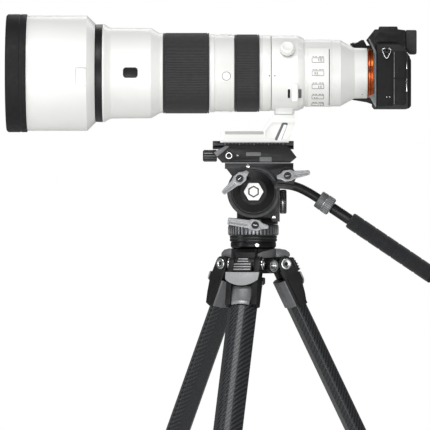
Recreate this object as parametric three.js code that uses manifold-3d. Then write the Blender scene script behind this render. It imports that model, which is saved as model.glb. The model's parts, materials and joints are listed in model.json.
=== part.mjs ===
// A mirrorless camera with a super-telephoto zoom lens, on a fluid video head and a tripod.
// Millimetres, +Z up. The lens looks along -X and its axis is the height datum: every height of the
// camera, lens, head and spider is given from the lens axis, and every X from the head's pan axis.
import * as THREE from 'three';
import { mergeVertices } from 'three/addons/utils/BufferGeometryUtils.js';
import Module from 'manifold-3d';

const wasm = await Module();
wasm.setup();

// ---- driving dimensions ----------------------------------------------------------------------
const GAP = 0.3; // air kept between pieces that touch
const AXIS_HEIGHT = 760; // lens axis above the floor
const LENS_SIDES = 32; // facets round a lens ring
const RING_SIDES = 28; // facets round the head's rings
const SMALL_SIDES = 16; // facets round knobs, pins and tubes

const HOOD = { front: -286, bumperEnd: -262, neck: -192.6, rear: -183.2, outer: 66.75, bumper: 68.45 };
const FRONT = { spigot: -196, ring: -182.8, flange: -174.7, step: -118.6, neck: -108, outer: 52.5 };
const ZOOM = { start: -104.4, end: -50.9, outer: 46.7, sleeve: 42.5 };
const MID = { start: -50.6, end: 20.1, outer: 44.35, sleeve: 41.5 };
const FOCUS = { start: -22, end: 6.7, outer: 44.95 };
const REAR = { start: 20.5, shoulder: 100.9, cone: 116.9, end: 132.1, outer: 38.5, tail: 29.15 };
const COLLAR = { start: 20.7, edge: 51.3, end: 58.2, outer: 43.5, bore: 39.1, neckBottom: -47.9 };
const COLLAR_KNOB = { x: 39, rise: 35, seat: 44.5, face: 53, r: 8.2 };
const MOUNT = { start: 132.4, end: 139.2, outer: 28.5, inner: 22 };
const BODY = { front: 139.6, back: 181.4, near: -49, far: 78, bottom: -41.2, deck: 32 };
const SCREEN = { inner: 177.6, bottom: -36.5, top: 12, near: -44, far: 33 };

const FOOT = { top: -48.2, plateTop: -66, bottom: -80.2, halfWidth: 16 };
const PLATE = { left: -47.2, right: 46.6, top: -80.5, bottom: -88.3, halfWidth: 19.5, neck: 16.5 };
const CLAMP = { bottom: -103.9, halfWidth: 28, buttonX: -28.5, buttonZ: -95.5 };

const TILT = { z: -137.2, ring: 30.5, drum: 25.5, drumHalf: 18, cheekIn: 19, cheekOut: 34 };
const TILT_LEVER = { x: -16, z: -122, angle: 221.2 };
const ROSETTE = { x: 39, z: -118.8, r: 10.2, face: 42 };
const HANDLE = { y: -47, startX: 72, startZ: -143.5, drop: 34, rod: 4.6, gripEnd: 165, gripR: 9.6 };
const PAN = { top: -175.3, ringBottom: -188.2, baseBottom: -203.2, ringR: 29.4, coreR: 22 };
const PAN_LEVER = { x: 1.9, z: -175.8, angle: 171.6 };

const SPIDER = { top: -203.5, bottom: -232, hub: 25.5, armHalf: 11.5 };
const HINGE = { radius: 34, z: -221, pin: 3, eye: 8.8 };
const LEG = {
  splay: 26.3, centre: -5, tubeTop: -28.3, tubeBottom: -440, lockBottom: -478,
  lowerTop: -80, lowerR: 8, bore: 8.4, armIn: 12.2, armOut: 18.6,
};
const LEG_AZIMUTHS = { front: -104.7, right: 15.3, left: 135.3 };

// ---- finishes --------------------------------------------------------------------------------
const finish = (color, roughness, metalness = 0) =>
  new THREE.MeshStandardMaterial({ color, roughness, metalness });
const WHITE = finish('#e6e8e4', 0.45);
const RUBBER = finish('#2b2b2d', 0.85);
const BLACK_PAINT = finish('#1b1b1d', 0.5);
const BLACK_METAL = finish('#26272a', 0.4, 0.8);
const GREY_METAL = finish('#6d6e70', 0.45, 0.8);
const STEEL = finish('#c9cbcd', 0.25, 1);
const COPPER = finish('#e0702c', 0.3, 1);
const CARBON = finish('#3a3b3d', 0.35);
const GLASS = finish('#35424a', 0.05);
const FOAM = finish('#2f3032', 0.9);

// ---- solid modelling helpers -----------------------------------------------------------------
const X = new THREE.Vector3(1, 0, 0);
const Y = new THREE.Vector3(0, 1, 0);
const Z = new THREE.Vector3(0, 0, 1);
const basis = (u, v, w) => new THREE.Matrix4().makeBasis(u, v, w);
const radians = THREE.MathUtils.degToRad;

// A closed three.js geometry as a solid that faces outwards.
function solidOf(geometry) {
  const flat = geometry.index ? geometry.toNonIndexed() : geometry;
  const bare = new THREE.BufferGeometry().setAttribute('position', flat.getAttribute('position'));
  const merged = mergeVertices(bare, 1e-4);
  const position = merged.getAttribute('position');
  const index = merged.index.array;
  const corner = [new THREE.Vector3(), new THREE.Vector3(), new THREE.Vector3()];
  const triangles = [];
  let volume = 0;
  for (let i = 0; i < index.length; i += 3) {
    const [a, b, c] = index.subarray(i, i + 3);
    if (a === b || b === c || c === a) continue;
    [a, b, c].forEach((vertex, k) => corner[k].fromBufferAttribute(position, vertex));
    volume += corner[0].dot(corner[1].cross(corner[2]));
    triangles.push(a, b, c);
  }
  if (volume < 0) triangles.reverse();
  return new wasm.Manifold(new wasm.Mesh({
    numProp: 3,
    vertProperties: position.array,
    triVerts: new Uint32Array(triangles),
  }));
}

// A solid as a three.js geometry with flat facets.
function geometryOf(solid) {
  const mesh = solid.getMesh();
  const geometry = new THREE.BufferGeometry();
  const positions = new Float32Array(mesh.triVerts.length * 3);
  mesh.triVerts.forEach((vertex, i) => {
    const start = vertex * mesh.numProp;
    positions.set(mesh.vertProperties.subarray(start, start + 3), i * 3);
  });
  geometry.setAttribute('position', new THREE.BufferAttribute(positions, 3));
  geometry.computeVertexNormals();
  return geometry;
}

const join = (...solids) => solids.reduce((whole, piece) => whole.add(piece));
const cut = (body, ...tools) => tools.reduce((rest, tool) => rest.subtract(tool), body);
const moved = (solid, matrix) => {
  const geometry = geometryOf(solid).applyMatrix4(matrix);
  return solidOf(geometry);
};

// A box between two limits on each axis.
function block([x0, x1], [y0, y1], [z0, z1]) {
  const box = new THREE.BoxGeometry(x1 - x0, y1 - y0, z1 - z0);
  return solidOf(box.translate((x0 + x1) / 2, (y0 + y1) / 2, (z0 + z1) / 2));
}

// A profile of [along, radius] points turned about an axis; a ring's profile closes on itself.
const TURNING = { x: basis(Y, X, Z), y: basis(Z, Y, X), z: basis(X, Z, Y) };
function turned(axis, profile, sides = SMALL_SIDES, at = [0, 0, 0]) {
  const open = profile[0][1] === 0;
  const points = (open ? profile : [...profile, profile[0]]).map(([s, r]) => new THREE.Vector2(r, s));
  const lathe = new THREE.LatheGeometry(points, sides);
  return solidOf(lathe.applyMatrix4(TURNING[axis]).translate(...at));
}
const rod = (axis, s0, s1, r, sides, at) => turned(axis, [[s0, 0], [s0, r], [s1, r], [s1, 0]], sides, at);
const ring = (axis, s0, s1, inner, outer, sides, at) =>
  turned(axis, [[s0, inner], [s0, outer], [s1, outer], [s1, inner]], sides, at);

// An outline pulled straight along an axis. Outlines are (y, z) for x, (x, z) for y, (x, y) for z.
const PULLING = { x: basis(Y, Z, X), y: basis(X, Z, Y), z: basis(X, Y, Z) };
function pulled(axis, outline, [from, to], holes = []) {
  const points = outline.map(([u, v]) => new THREE.Vector2(u, v));
  if (THREE.ShapeUtils.isClockWise(points)) points.reverse();
  const shape = new THREE.Shape(points);
  for (const hole of holes) shape.holes.push(new THREE.Path(hole.map(([u, v]) => new THREE.Vector2(u, v))));
  const slab = new THREE.ExtrudeGeometry(shape, { depth: to - from, bevelEnabled: false });
  return solidOf(slab.translate(0, 0, from).applyMatrix4(PULLING[axis]));
}

// Points along a circular arc, both ends included.
function arc([cu, cv], r, fromDeg, toDeg, steps) {
  return Array.from({ length: steps + 1 }, (_, i) => {
    const angle = radians(fromDeg + ((toDeg - fromDeg) * i) / steps);
    return [cu + r * Math.cos(angle), cv + r * Math.sin(angle)];
  });
}

const root = new THREE.Group();
const upper = new THREE.Group();
upper.position.z = AXIS_HEIGHT;
root.add(upper);

function addPiece(name, solid, material, parent = upper) {
  const mesh = new THREE.Mesh(geometryOf(solid), material);
  mesh.name = name;
  parent.add(mesh);
}

// ---- lens ------------------------------------------------------------------------------------
function buildHood() {
  const { front, bumperEnd, neck, rear, outer, bumper } = HOOD;
  const shell = turned('x', [
    [bumperEnd, outer], [neck, outer], [rear, 57.5], [rear, 53.8], [-197, 53.8], [-199.5, 60.5],
    [bumperEnd, 62.8],
  ], LENS_SIDES);
  const pocket = block([-205, -192], [-72, -62.4], [-16.5, 5.5]);
  addPiece('hood', cut(shell, pocket), WHITE);
  addPiece('hood_bumper', turned('x', [
    [front, 62], [front, bumper - 1.6], [front + 2, bumper], [bumperEnd - GAP, bumper],
    [bumperEnd - GAP, 62.8],
  ], LENS_SIDES), RUBBER);
  const face = block([-204.3, -192.7], [-67.7, -63.6], [-15.8, 4.8]);
  addPiece('hood_release_button', face, WHITE);
}

function buildBarrel() {
  const { spigot, ring: collarRing, flange, step, neck, outer } = FRONT;
  addPiece('front_barrel', turned('x', [
    [spigot, 53], [collarRing - 0.2, 53], [collarRing, 56.5], [flange + 2, 56.85], [flange + 10, outer],
    [step, outer - 0.3], [neck, 46.1], [ZOOM.start - GAP, 46.1], [ZOOM.start - GAP, ZOOM.sleeve],
    [ZOOM.end, ZOOM.sleeve], [ZOOM.end, 38.5], [neck - 4, 38.5], [step, 48], [spigot, 49.8],
  ], LENS_SIDES), WHITE);
  addPiece('front_element', turned('x', [
    [-178, 0], [-178, 48.4], [-184, 48.4], [-187.5, 34], [-189.5, 17], [-190, 0],
  ], LENS_SIDES), GLASS);
  const zoomRing = ring('x', ZOOM.start, ZOOM.end - GAP, ZOOM.sleeve + 0.9, ZOOM.outer, LENS_SIDES);
  addPiece('zoom_ring', zoomRing, RUBBER);
  addPiece('mid_barrel', turned('x', [
    [MID.start, 45.25], [MID.start + 5.6, 45.25], [MID.start + 6, MID.outer],
    [FOCUS.start - 0.4, MID.outer], [FOCUS.start - 0.4, MID.sleeve], [FOCUS.end + 0.4, MID.sleeve],
    [FOCUS.end + 0.4, 43.8], [MID.end, 43.8], [MID.end, 38], [MID.start, 38],
  ], LENS_SIDES), WHITE);
  const focusRing = ring('x', FOCUS.start, FOCUS.end, MID.sleeve + 0.8, FOCUS.outer, LENS_SIDES);
  addPiece('focus_ring', focusRing, RUBBER);
  addPiece('rear_barrel', turned('x', [
    [REAR.start, REAR.outer], [REAR.shoulder, REAR.outer], [REAR.cone, REAR.tail], [REAR.end, REAR.tail],
    [REAR.end, 24.5], [REAR.cone - 2, 24.5], [REAR.shoulder - 2, 34], [REAR.start, 34],
  ], LENS_SIDES), WHITE);
  const band = ring('x', 61, 87, REAR.outer + 0.5, REAR.outer + 2.8, LENS_SIDES);
  addPiece('switch_panel', band.intersect(block([60, 88], [-50, 0], [-38, 28])), WHITE);
  addPiece('lens_mount', ring('x', MOUNT.start, MOUNT.end, MOUNT.inner, MOUNT.outer, LENS_SIDES), COPPER);
}

// The collar clamps round the rear barrel and carries the foot.
function buildCollar() {
  const { start, edge, end, outer, bore, neckBottom } = COLLAR;
  const band = turned('x', [
    [start, outer], [edge, outer], [end, bore + 1.6], [end, bore], [start, bore],
  ], LENS_SIDES);
  const neck = block([24.5, 47.5], [-14.5, 14.5], [neckBottom, -36]);
  const knob = COLLAR_KNOB;
  const tilt = new THREE.Matrix4().makeRotationX(-radians(knob.rise));
  const boss = moved(rod('y', GAP - knob.seat, -24, 6, SMALL_SIDES, [knob.x, 0, 0]), tilt);
  const lug = cut(block([41, 55], [-44.5, -33], [-32, -15]), block([44.5, 48], [-43, -30], [-29, -18]));
  const barrelSpace = rod('x', start - 1, end + 1, bore, LENS_SIDES);
  addPiece('tripod_collar', cut(join(band, neck, boss, lug), barrelSpace), WHITE);
  addPiece('collar_knob', moved(turned('y', [
    [-knob.face, 0], [-knob.face, knob.r - 1.2], [1.5 - knob.face, knob.r], [-knob.seat - 0.7, knob.r],
    [-knob.seat, knob.r - 0.8], [-knob.seat, 0],
  ], SMALL_SIDES, [knob.x, 0, 0]), tilt), WHITE);

  const { top, plateTop, bottom, halfWidth } = FOOT;
  const side = [
    [24.5, top], [47.5, top], [47.5, -59], [40.5, bottom], [-35.5, bottom], [-37.6, -77.5],
    [-37.6, -69.5], [-34.5, plateTop], [11.5, plateTop], [19, -52.5],
  ];
  const slot = [[33.4, -57.4], [40.4, -57.4], [32.6, -78], [24, -78]];
  addPiece('lens_foot', pulled('y', side, [-halfWidth, halfWidth], [slot]), WHITE);
}

// ---- camera ----------------------------------------------------------------------------------
function buildCamera() {
  const { front, back, near, far, bottom, deck } = BODY;
  const profile = [
    [front, bottom + 3], [front + 2.5, bottom], [back - 2.4, bottom], [back, bottom + 2.6],
    [back, 14], [179, 19.5], [173.5, 27.8], [168, deck], [front, deck],
  ];
  const plan = [
    [front, near + 3], [front + 3, near], [back - 4, near], [back, near + 4], [back, far - 5],
    [back - 5, far], [front, far],
  ];
  const box = pulled('y', profile, [near, far]).intersect(pulled('z', plan, [bottom - 1, deck + 1]));
  const finder = pulled('y', [
    [front + 1, 31], [136.5, 31], [131.3, 38.8], [140.6, 50.4], [145, 50.4], [146, 53.9], [166.5, 53.9],
    [167.5, 50.4], [175.4, 49.4], [175.4, 33], [170, 30.5],
  ], [-22, 22]);
  const shoeTrim = (side) => block([144, 169], side > 0 ? [10, 23] : [-23, -10], [50.4, 55]);
  const hump = cut(finder, shoeTrim(1), shoeTrim(-1));
  const gripSide = pulled('y', [
    [front + 1, -35.5], [133.5, -33], [113, -29.5], [111.5, -26], [111.5, 30], [113.5, 31.5], [126, 39.4],
    [129, 39.4], [133, deck], [front + 1, deck],
  ], [36, far]);
  const gripPlan = pulled('z', [
    [front + 1, 36], [119, 38], [111.5, 45], [111.5, 70], [118, far], [front + 1, far],
  ], [-40, 41]);
  const throat = rod('x', front - 1, 154, 21, LENS_SIDES);
  const pocket = block([SCREEN.inner - GAP, back + 5],
    [SCREEN.near - 0.4, SCREEN.far + 0.4], [SCREEN.bottom - 0.4, SCREEN.top + 0.4]);
  const buttonWell = rod('z', 31.5, 45, 5, SMALL_SIDES, [120, 58, 0]);
  const shell = cut(join(box, hump, gripSide.intersect(gripPlan)), throat, pocket, buttonWell);
  addPiece('camera_body', shell, BLACK_PAINT);

  const cup = pulled('x', [
    [-20, 25], [-17, 21.8], [17, 21.8], [20, 25], [20, 46.6], [17, 49.8], [-17, 49.8], [-20, 46.6],
  ], [175.8, 188.8]);
  const bodyCorner = pulled('y', [
    [170, 32], [175, 29.5], [182, 20.5], [182, 10], [170, 10],
  ], [-25, 25]);
  const window = block([182, 190], [-13, 13], [28, 44]);
  addPiece('eyecup', cut(cup, bodyCorner, window), RUBBER);
  addPiece('shutter_button', rod('z', 33, 37.6, 4.5, SMALL_SIDES, [120, 58, 0]), BLACK_METAL);
  addPiece('mode_dial', rod('z', deck + GAP, 38.5, 9.5, 20, [158, 62, 0]), BLACK_METAL);
  addPiece('rear_screen', block([SCREEN.inner, back - 0.2],
    [SCREEN.near, SCREEN.far], [SCREEN.bottom, SCREEN.top]), BLACK_PAINT);
  addPiece('terminal_door', block([162.3, 175.3], [near - 2, near - GAP], [-37, 24]), RUBBER);
}

// ---- quick release ---------------------------------------------------------------------------
function buildQuickRelease() {
  const { left, right, top, bottom, halfWidth, neck } = PLATE;
  const dovetail = (grow, open) => [
    [-halfWidth - grow, bottom - grow], [halfWidth + grow, bottom - grow],
    [halfWidth + grow, -87.2 + grow], [neck + grow, -84.2 + grow], [neck + grow, open],
    [-neck - grow, open], [-neck - grow, -84.2 + grow], [-halfWidth - grow, -87.2 + grow],
  ];
  const slab = block([left, right], [-halfWidth, halfWidth], [-83.2, top]);
  const rail = pulled('x', dovetail(0, -82), [left, right]);
  const stops = [[left, -38.4], [41.2, right]].map(
    (span) => block(span, [-halfWidth, halfWidth], [-82, -78.6]),
  );
  addPiece('quick_release_plate', join(slab, rail, ...stops), BLACK_METAL);

  const outline = [
    [-31.5, -83.6], [-46.5, -92], [-42.2, -97.4], [-36.3, CLAMP.bottom], [42.5, CLAMP.bottom],
    [49.9, -97.6], [41.5, -86.5], [38.5, -83.6],
  ];
  const body = pulled('y', outline, [-CLAMP.halfWidth, CLAMP.halfWidth]);
  const channel = pulled('x', dovetail(0.4, -70), [-70, 70]);
  const knobSpace = rod('x', -70, -41.5, 6.9, SMALL_SIDES, [0, 0, -95.8]);
  const buttonWell = rod('y', -40, -24.5, 4.6, SMALL_SIDES, [CLAMP.buttonX, 0, CLAMP.buttonZ]);
  addPiece('quick_release_clamp', cut(body, channel, knobSpace, buttonWell), BLACK_METAL);
  addPiece('clamp_knob', rod('x', -58.8, -42, 6.2, 20, [0, 0, -95.8]), BLACK_METAL);
  const button = rod('y', -30.4, -26.2, 4.1, SMALL_SIDES, [CLAMP.buttonX, 0, CLAMP.buttonZ]);
  addPiece('release_button', button, STEEL);
}

// ---- fluid head ------------------------------------------------------------------------------
// A two-ended lever on a screw: pivot at (x, z), flat towards -Y, with its stud reaching seat.
function wingLever({ x, z, angle }, { face, seat, long = 26, short = 12.5, tip = 2.4, thick = 5 }) {
  const blade = pulled('y', [
    [long, -tip], [long, tip], [7, 4], ...arc([0, 0], 6.2, 50, 130, 3), [-7, 4], [-short, 1.6],
    [-short, -1.6], [-7, -4], ...arc([0, 0], 6.2, 230, 310, 3), [7, -4],
  ], [face, face + thick]);
  const stud = rod('y', face + 1, seat, 2.9, 12);
  const turn = new THREE.Matrix4().makeRotationY(-radians(angle)).setPosition(x, 0, z);
  return moved(join(blade, stud), turn);
}

function buildPanBase() {
  const { top, ringBottom, baseBottom, ringR, coreR } = PAN;
  addPiece('head_base', turned('z', [
    [baseBottom, 0], [baseBottom, 24.5], [baseBottom + 2.6, 26.4], [-194.6, 26.4], [-194.4, 27.4],
    [ringBottom - GAP, 27.4], [ringBottom - GAP, coreR], [top - GAP, coreR], [top - GAP, 0],
  ], RING_SIDES), BLACK_METAL);
  addPiece('pan_drag_ring', ring('z', ringBottom, top - GAP, coreR + 0.7, ringR, RING_SIDES), BLACK_METAL);

  const foot = rod('z', top, -168.2, 27, RING_SIDES);
  const tower = block([-19, 30.4], [-TILT.drumHalf, TILT.drumHalf], [-172, TILT.z]);
  const drum = rod('y', -TILT.drumHalf, TILT.drumHalf, TILT.drum, RING_SIDES, [0, 0, TILT.z]);
  const journal = rod('y', -TILT.cheekOut + 4, TILT.cheekOut - 4, 6, SMALL_SIDES, [0, 0, TILT.z]);
  const boss = join(block([-5, 9], [-30.2, -20], [top, -169]), block([-5, 9], [-33, -29.9], [-181, -169]));
  addPiece('pan_body', join(foot, tower, drum, journal, boss), BLACK_METAL);
  const lever = wingLever(PAN_LEVER, { face: -40.5, seat: -33.3, long: 32, short: 15.5, tip: 4.2 });
  addPiece('pan_lever', lever, GREY_METAL);
  addPiece('drag_dial', rod('x', 30.7, 38.6, 14, 20, [0, 0, -149]), BLACK_METAL);
}

function buildCradle() {
  const { z, ring: rim, cheekIn, cheekOut } = TILT;
  const top = CLAMP.bottom - GAP;
  const side = [
    [46, top], [-33, top], [-33, -108.5], [-24.5, -119.5], ...arc([0, z], rim, 144, 378, 20),
    [33, -129.5], [46, -126],
  ];
  const deck = block([-33, 46], [-cheekOut, cheekOut], [-111, top]);
  const near = pulled('y', side, [-cheekOut, -cheekIn]);
  const far = pulled('y', side, [cheekIn, cheekOut]);
  const bearing = rod('y', -50, 50, 6.5, SMALL_SIDES, [0, 0, z]);
  const rosette = rod('y', -ROSETTE.face, -cheekOut + 1, ROSETTE.r, 20, [ROSETTE.x, 0, ROSETTE.z]);
  addPiece('tilt_cradle', join(cut(join(deck, near, far), bearing), rosette), BLACK_METAL);

  const dome = turned('y', [
    [-42, 0], [-42, 13], [-40.5, 17], [-38, 20], [-37, 24.4], [-cheekOut - GAP, 24.4], [-cheekOut - GAP, 0],
  ], RING_SIDES, [0, 0, z]);
  const leverNotch = rod('y', -60, -30, 4.4, 12, [TILT_LEVER.x, 0, TILT_LEVER.z]);
  addPiece('drum_cap', cut(dome, leverNotch), BLACK_PAINT);
  addPiece('tilt_lever', wingLever(TILT_LEVER, { face: -50, seat: -cheekOut - GAP }), GREY_METAL);
}

function buildPanHandle() {
  const { y, startX, startZ, drop, rod: rodR, gripEnd, gripR } = HANDLE;
  const clampOuter = -52;
  const eye = arc([ROSETTE.x, ROSETTE.z], 10, -30, 190, 10);
  const clampSide = [[45.5, -134.6], ...eye, [24, -127], [23.5, -133], [28, -136]];
  addPiece('handle_clamp', pulled('y', clampSide, [clampOuter, -ROSETTE.face - 0.4]), BLACK_METAL);
  const lever = { x: ROSETTE.x, z: ROSETTE.z, angle: 8.3 };
  addPiece('handle_lever', wingLever(lever, { face: -58.5, seat: clampOuter - GAP, thick: 5 }), GREY_METAL);

  const along = new THREE.Vector3(Math.cos(radians(drop)), 0, -Math.sin(radians(drop)));
  const start = new THREE.Vector3(startX, y, startZ);
  const onAxis = (s) => start.clone().addScaledVector(along, s);
  const path = new THREE.CatmullRomCurve3([
    new THREE.Vector3(48, y, -130.6), new THREE.Vector3(59.5, y, -135.4), start, onAxis(50), onAxis(100),
  ]);
  const section = new THREE.Shape(arc([0, 0], rodR, 0, 330, 11).map(([u, v]) => new THREE.Vector2(u, v)));
  const tube = new THREE.ExtrudeGeometry(section, { steps: 12, extrudePath: path });
  addPiece('handle_tube', solidOf(tube), BLACK_PAINT);

  // Turned pieces lie along +X and swing down onto the handle's straight axis.
  const onto = new THREE.Matrix4().makeRotationY(radians(drop)).setPosition(startX, y, startZ);
  const collar = ring('x', 3, 21.5, rodR + 0.6, 10, 18);
  addPiece('handle_lock_collar', moved(collar, onto), BLACK_METAL);
  const grip = turned('x', [
    [130, 0], [130, rodR + 0.6], [22, rodR + 0.6], [22, 6.2], [47, 6.2], [47, gripR - 0.6], [50, gripR],
    [gripEnd - 4, gripR], [gripEnd, 6], [gripEnd, 0],
  ], 18);
  addPiece('handle_grip', moved(grip, onto), FOAM);
}

// ---- tripod ----------------------------------------------------------------------------------
const azimuthTurn = (azimuth) => new THREE.Matrix4().makeRotationZ(radians(azimuth));

function buildSpider() {
  const hub = rod('z', SPIDER.bottom, SPIDER.top, SPIDER.hub, 24);
  const side = [
    [0, SPIDER.bottom], [0, SPIDER.top], [29.5, SPIDER.top], [37, -207.5],
    ...arc([HINGE.radius, HINGE.z], 9, 60, -90, 8), [20, SPIDER.bottom],
  ];
  const arm = cut(
    pulled('y', side, [-SPIDER.armHalf, SPIDER.armHalf]),
    rod('y', -30, 30, HINGE.pin + 0.35, SMALL_SIDES, [HINGE.radius, 0, HINGE.z]),
  );
  const arms = Object.values(LEG_AZIMUTHS).map((azimuth) => moved(arm, azimuthTurn(azimuth)));
  const portAzimuth = (LEG_AZIMUTHS.front + LEG_AZIMUTHS.right) / 2;
  const portAt = [0, 0, -223.3];
  const port = cut(rod('x', 20, 33, 8, SMALL_SIDES, portAt), rod('x', 26, 40, 4.8, SMALL_SIDES, portAt));
  addPiece('spider', join(hub, ...arms, moved(port, azimuthTurn(portAzimuth))), GREY_METAL);
  addPiece('tie_down_knob', turned('z', [
    [-246, 0], [-246, 11], [-244, 14], [-237, 14], [-236, 5], [SPIDER.bottom - GAP, 5], [SPIDER.bottom - GAP, 0],
  ]), BLACK_METAL);
}

// The tube's cross-section: a rounded outer lobe, slanted flanks and a flat back.
const TUBE_SECTION = [
  [10.5, 0], [10.1, 3.7], [8.9, 7.3], [7, 10.5], [-1.5, 17], [-5.5, 17], [-10, 9.5], [-10, -9.5],
  [-5.5, -17], [-1.5, -17], [7, -10.5], [8.9, -7.3], [10.1, -3.7],
];
const tubeSection = (grow) => TUBE_SECTION.map(([u, v]) => [LEG.centre + u * grow, v * grow]);

function buildLegBracket() {
  const cheek = [
    ...arc([0, 0], HINGE.eye, 0, 180, 8), [-9.2, -30], [-8.6, -50], [-4, -53], [2.5, -52], [6, -40],
    [9.6, -22],
  ];
  const cheeks = [[-LEG.armOut, -LEG.armIn], [LEG.armIn, LEG.armOut]].map((span) => pulled('y', cheek, span));
  const sleeve = pulled('z', tubeSection(1.13), [-50, -16.5]);
  const half = LEG.armOut;
  const shield = pulled('x', [
    [-half, -15.6], [half, -15.6], [half, -25], [10, -30.5], [0, -32.5], [-10, -30.5], [-half, -25],
  ], [5, 11]);
  const socket = pulled('z', tubeSection(1.035), [-80, -28]);
  const pinHole = rod('y', -30, 30, HINGE.pin + 0.35, SMALL_SIDES);
  return cut(join(...cheeks, sleeve, shield), socket, pinHole);
}

function buildLeg(name, azimuth) {
  const stand = new THREE.Group();
  stand.rotation.z = radians(azimuth);
  root.add(stand);
  const leg = new THREE.Group();
  const hingeHeight = AXIS_HEIGHT + HINGE.z;
  leg.position.set(HINGE.radius, 0, hingeHeight);
  leg.rotation.y = -radians(LEG.splay);
  stand.add(leg);

  const add = (piece, solid, material) => addPiece(`${name}_leg_${piece}`, solid, material, leg);
  const seat = LEG.armOut + GAP;
  const heads = [rod('y', seat, seat + 2.1, 6.5), rod('y', -seat - 2.1, -seat, 6.5)];
  add('hinge_pin', join(rod('y', -seat - 1, seat + 1, HINGE.pin), ...heads), STEEL);
  add('bracket', buildLegBracket(), GREY_METAL);
  add('angle_stop', pulled('x', [
    [-10.6, -15], [10.6, -15], [10.6, -5], [6, 1.5], [-6, 1.5], [-10.6, -5],
  ], [10.4, 15.4]), BLACK_METAL);

  const at = [LEG.centre, 0, 0];
  const bore = arc([LEG.centre, 0], LEG.bore, 0, 337.5, 15);
  add('upper_tube', pulled('z', tubeSection(1), [LEG.tubeBottom, LEG.tubeTop], [bore]), CARBON);
  add('twist_lock', turned('z', [
    [LEG.lockBottom, LEG.bore], [LEG.lockBottom, 15], [LEG.lockBottom + 5, 18], [LEG.tubeBottom - 4, 18.6],
    [LEG.tubeBottom - 0.4, 17], [LEG.tubeBottom - 0.4, LEG.bore],
  ], 18, at), RUBBER);

  const slope = radians(LEG.splay);
  const floorAt = -(hingeHeight + LEG.centre * Math.sin(slope)) / Math.cos(slope);
  const shoeTop = floorAt + 34;
  add('lower_tube', ring('z', shoeTop + GAP, LEG.lowerTop, 6.6, LEG.lowerR, SMALL_SIDES, at), CARBON);
  const shoe = turned('z', [
    [floorAt - 14, 0], [floorAt - 14, 11], [floorAt - 8, 14.5], [floorAt + 12, 14.5], [shoeTop, 10.5],
    [shoeTop, 0],
  ], 18, at);
  const floorBlock = block([-400, 400], [-100, 100], [-100, 0]);
  const toLeg = new THREE.Matrix4().makeRotationY(-slope).setPosition(HINGE.radius, 0, hingeHeight).invert();
  add('foot', cut(shoe, moved(floorBlock, toLeg)), RUBBER);
}

buildHood();
buildBarrel();
buildCollar();
buildCamera();
buildQuickRelease();
buildPanBase();
buildCradle();
buildPanHandle();
buildSpider();
for (const [name, azimuth] of Object.entries(LEG_AZIMUTHS)) buildLeg(name, azimuth);

// The origin goes to the middle of the footprint, on the floor.
const size = new THREE.Box3().setFromObject(root, true);
const part = new THREE.Group();
part.position.set(-(size.min.x + size.max.x) / 2, -(size.min.y + size.max.y) / 2, -size.min.z);
part.add(root);

export default part;
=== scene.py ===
"""Camera with a long white zoom lens on a fluid head and a carbon tripod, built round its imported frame.

Sizes are millimetres from the datum: X from the head's pan axis, Y and Z from the lens's axis.
"""
from __future__ import annotations

import json
import logging
import math
from dataclasses import dataclass
from enum import Enum
from typing import Any, Iterable, Sequence

import bmesh
import bpy
from mathutils import Matrix, Vector

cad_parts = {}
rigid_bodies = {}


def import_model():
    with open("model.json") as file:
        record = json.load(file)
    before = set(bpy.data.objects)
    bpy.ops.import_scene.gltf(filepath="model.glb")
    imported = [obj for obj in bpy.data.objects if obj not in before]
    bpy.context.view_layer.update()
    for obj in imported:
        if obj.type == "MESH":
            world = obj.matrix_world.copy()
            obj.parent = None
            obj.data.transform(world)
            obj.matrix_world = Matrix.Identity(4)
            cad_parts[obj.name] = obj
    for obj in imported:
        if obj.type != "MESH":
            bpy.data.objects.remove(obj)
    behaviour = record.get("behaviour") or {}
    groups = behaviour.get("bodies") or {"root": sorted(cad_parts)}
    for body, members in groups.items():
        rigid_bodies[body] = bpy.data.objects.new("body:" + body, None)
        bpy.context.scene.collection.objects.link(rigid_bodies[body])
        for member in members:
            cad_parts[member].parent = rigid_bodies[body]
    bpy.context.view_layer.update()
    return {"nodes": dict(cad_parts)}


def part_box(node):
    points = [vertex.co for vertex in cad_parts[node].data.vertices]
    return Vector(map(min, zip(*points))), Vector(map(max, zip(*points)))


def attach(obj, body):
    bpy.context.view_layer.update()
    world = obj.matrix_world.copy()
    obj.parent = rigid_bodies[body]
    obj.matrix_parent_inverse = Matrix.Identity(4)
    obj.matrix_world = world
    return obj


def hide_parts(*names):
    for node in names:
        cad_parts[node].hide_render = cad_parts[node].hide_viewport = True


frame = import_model()
LOG = logging.getLogger("outfit")

MM = 0.001
FINE = 96  # steps round a large ring
MEDIUM = 48  # steps round a knob
SMALL = 24  # steps round a screw

Point2 = Sequence[float]
Point3 = Sequence[float]


# ---------------------------------------------------------------------------------- the frame
def find_datum() -> Vector:
    """Finds where the pan axis and the lens's axis cross in the frame, in metres."""
    ring_low, ring_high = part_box("zoom_ring")
    base_low, base_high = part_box("head_base")
    ring_centre = (ring_low + ring_high) / 2
    return Vector(((base_low.x + base_high.x) / 2, ring_centre.y, ring_centre.z))


DATUM = find_datum()


def at_datum() -> Matrix:
    """Gives the matrix that takes datum metres to the frame."""
    return Matrix.Translation(DATUM)


class Axis(Enum):
    """A direction to turn or pull a shape along."""

    X = (1, 0, 0)
    Y = (0, 1, 0)
    Z = (0, 0, 1)


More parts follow.
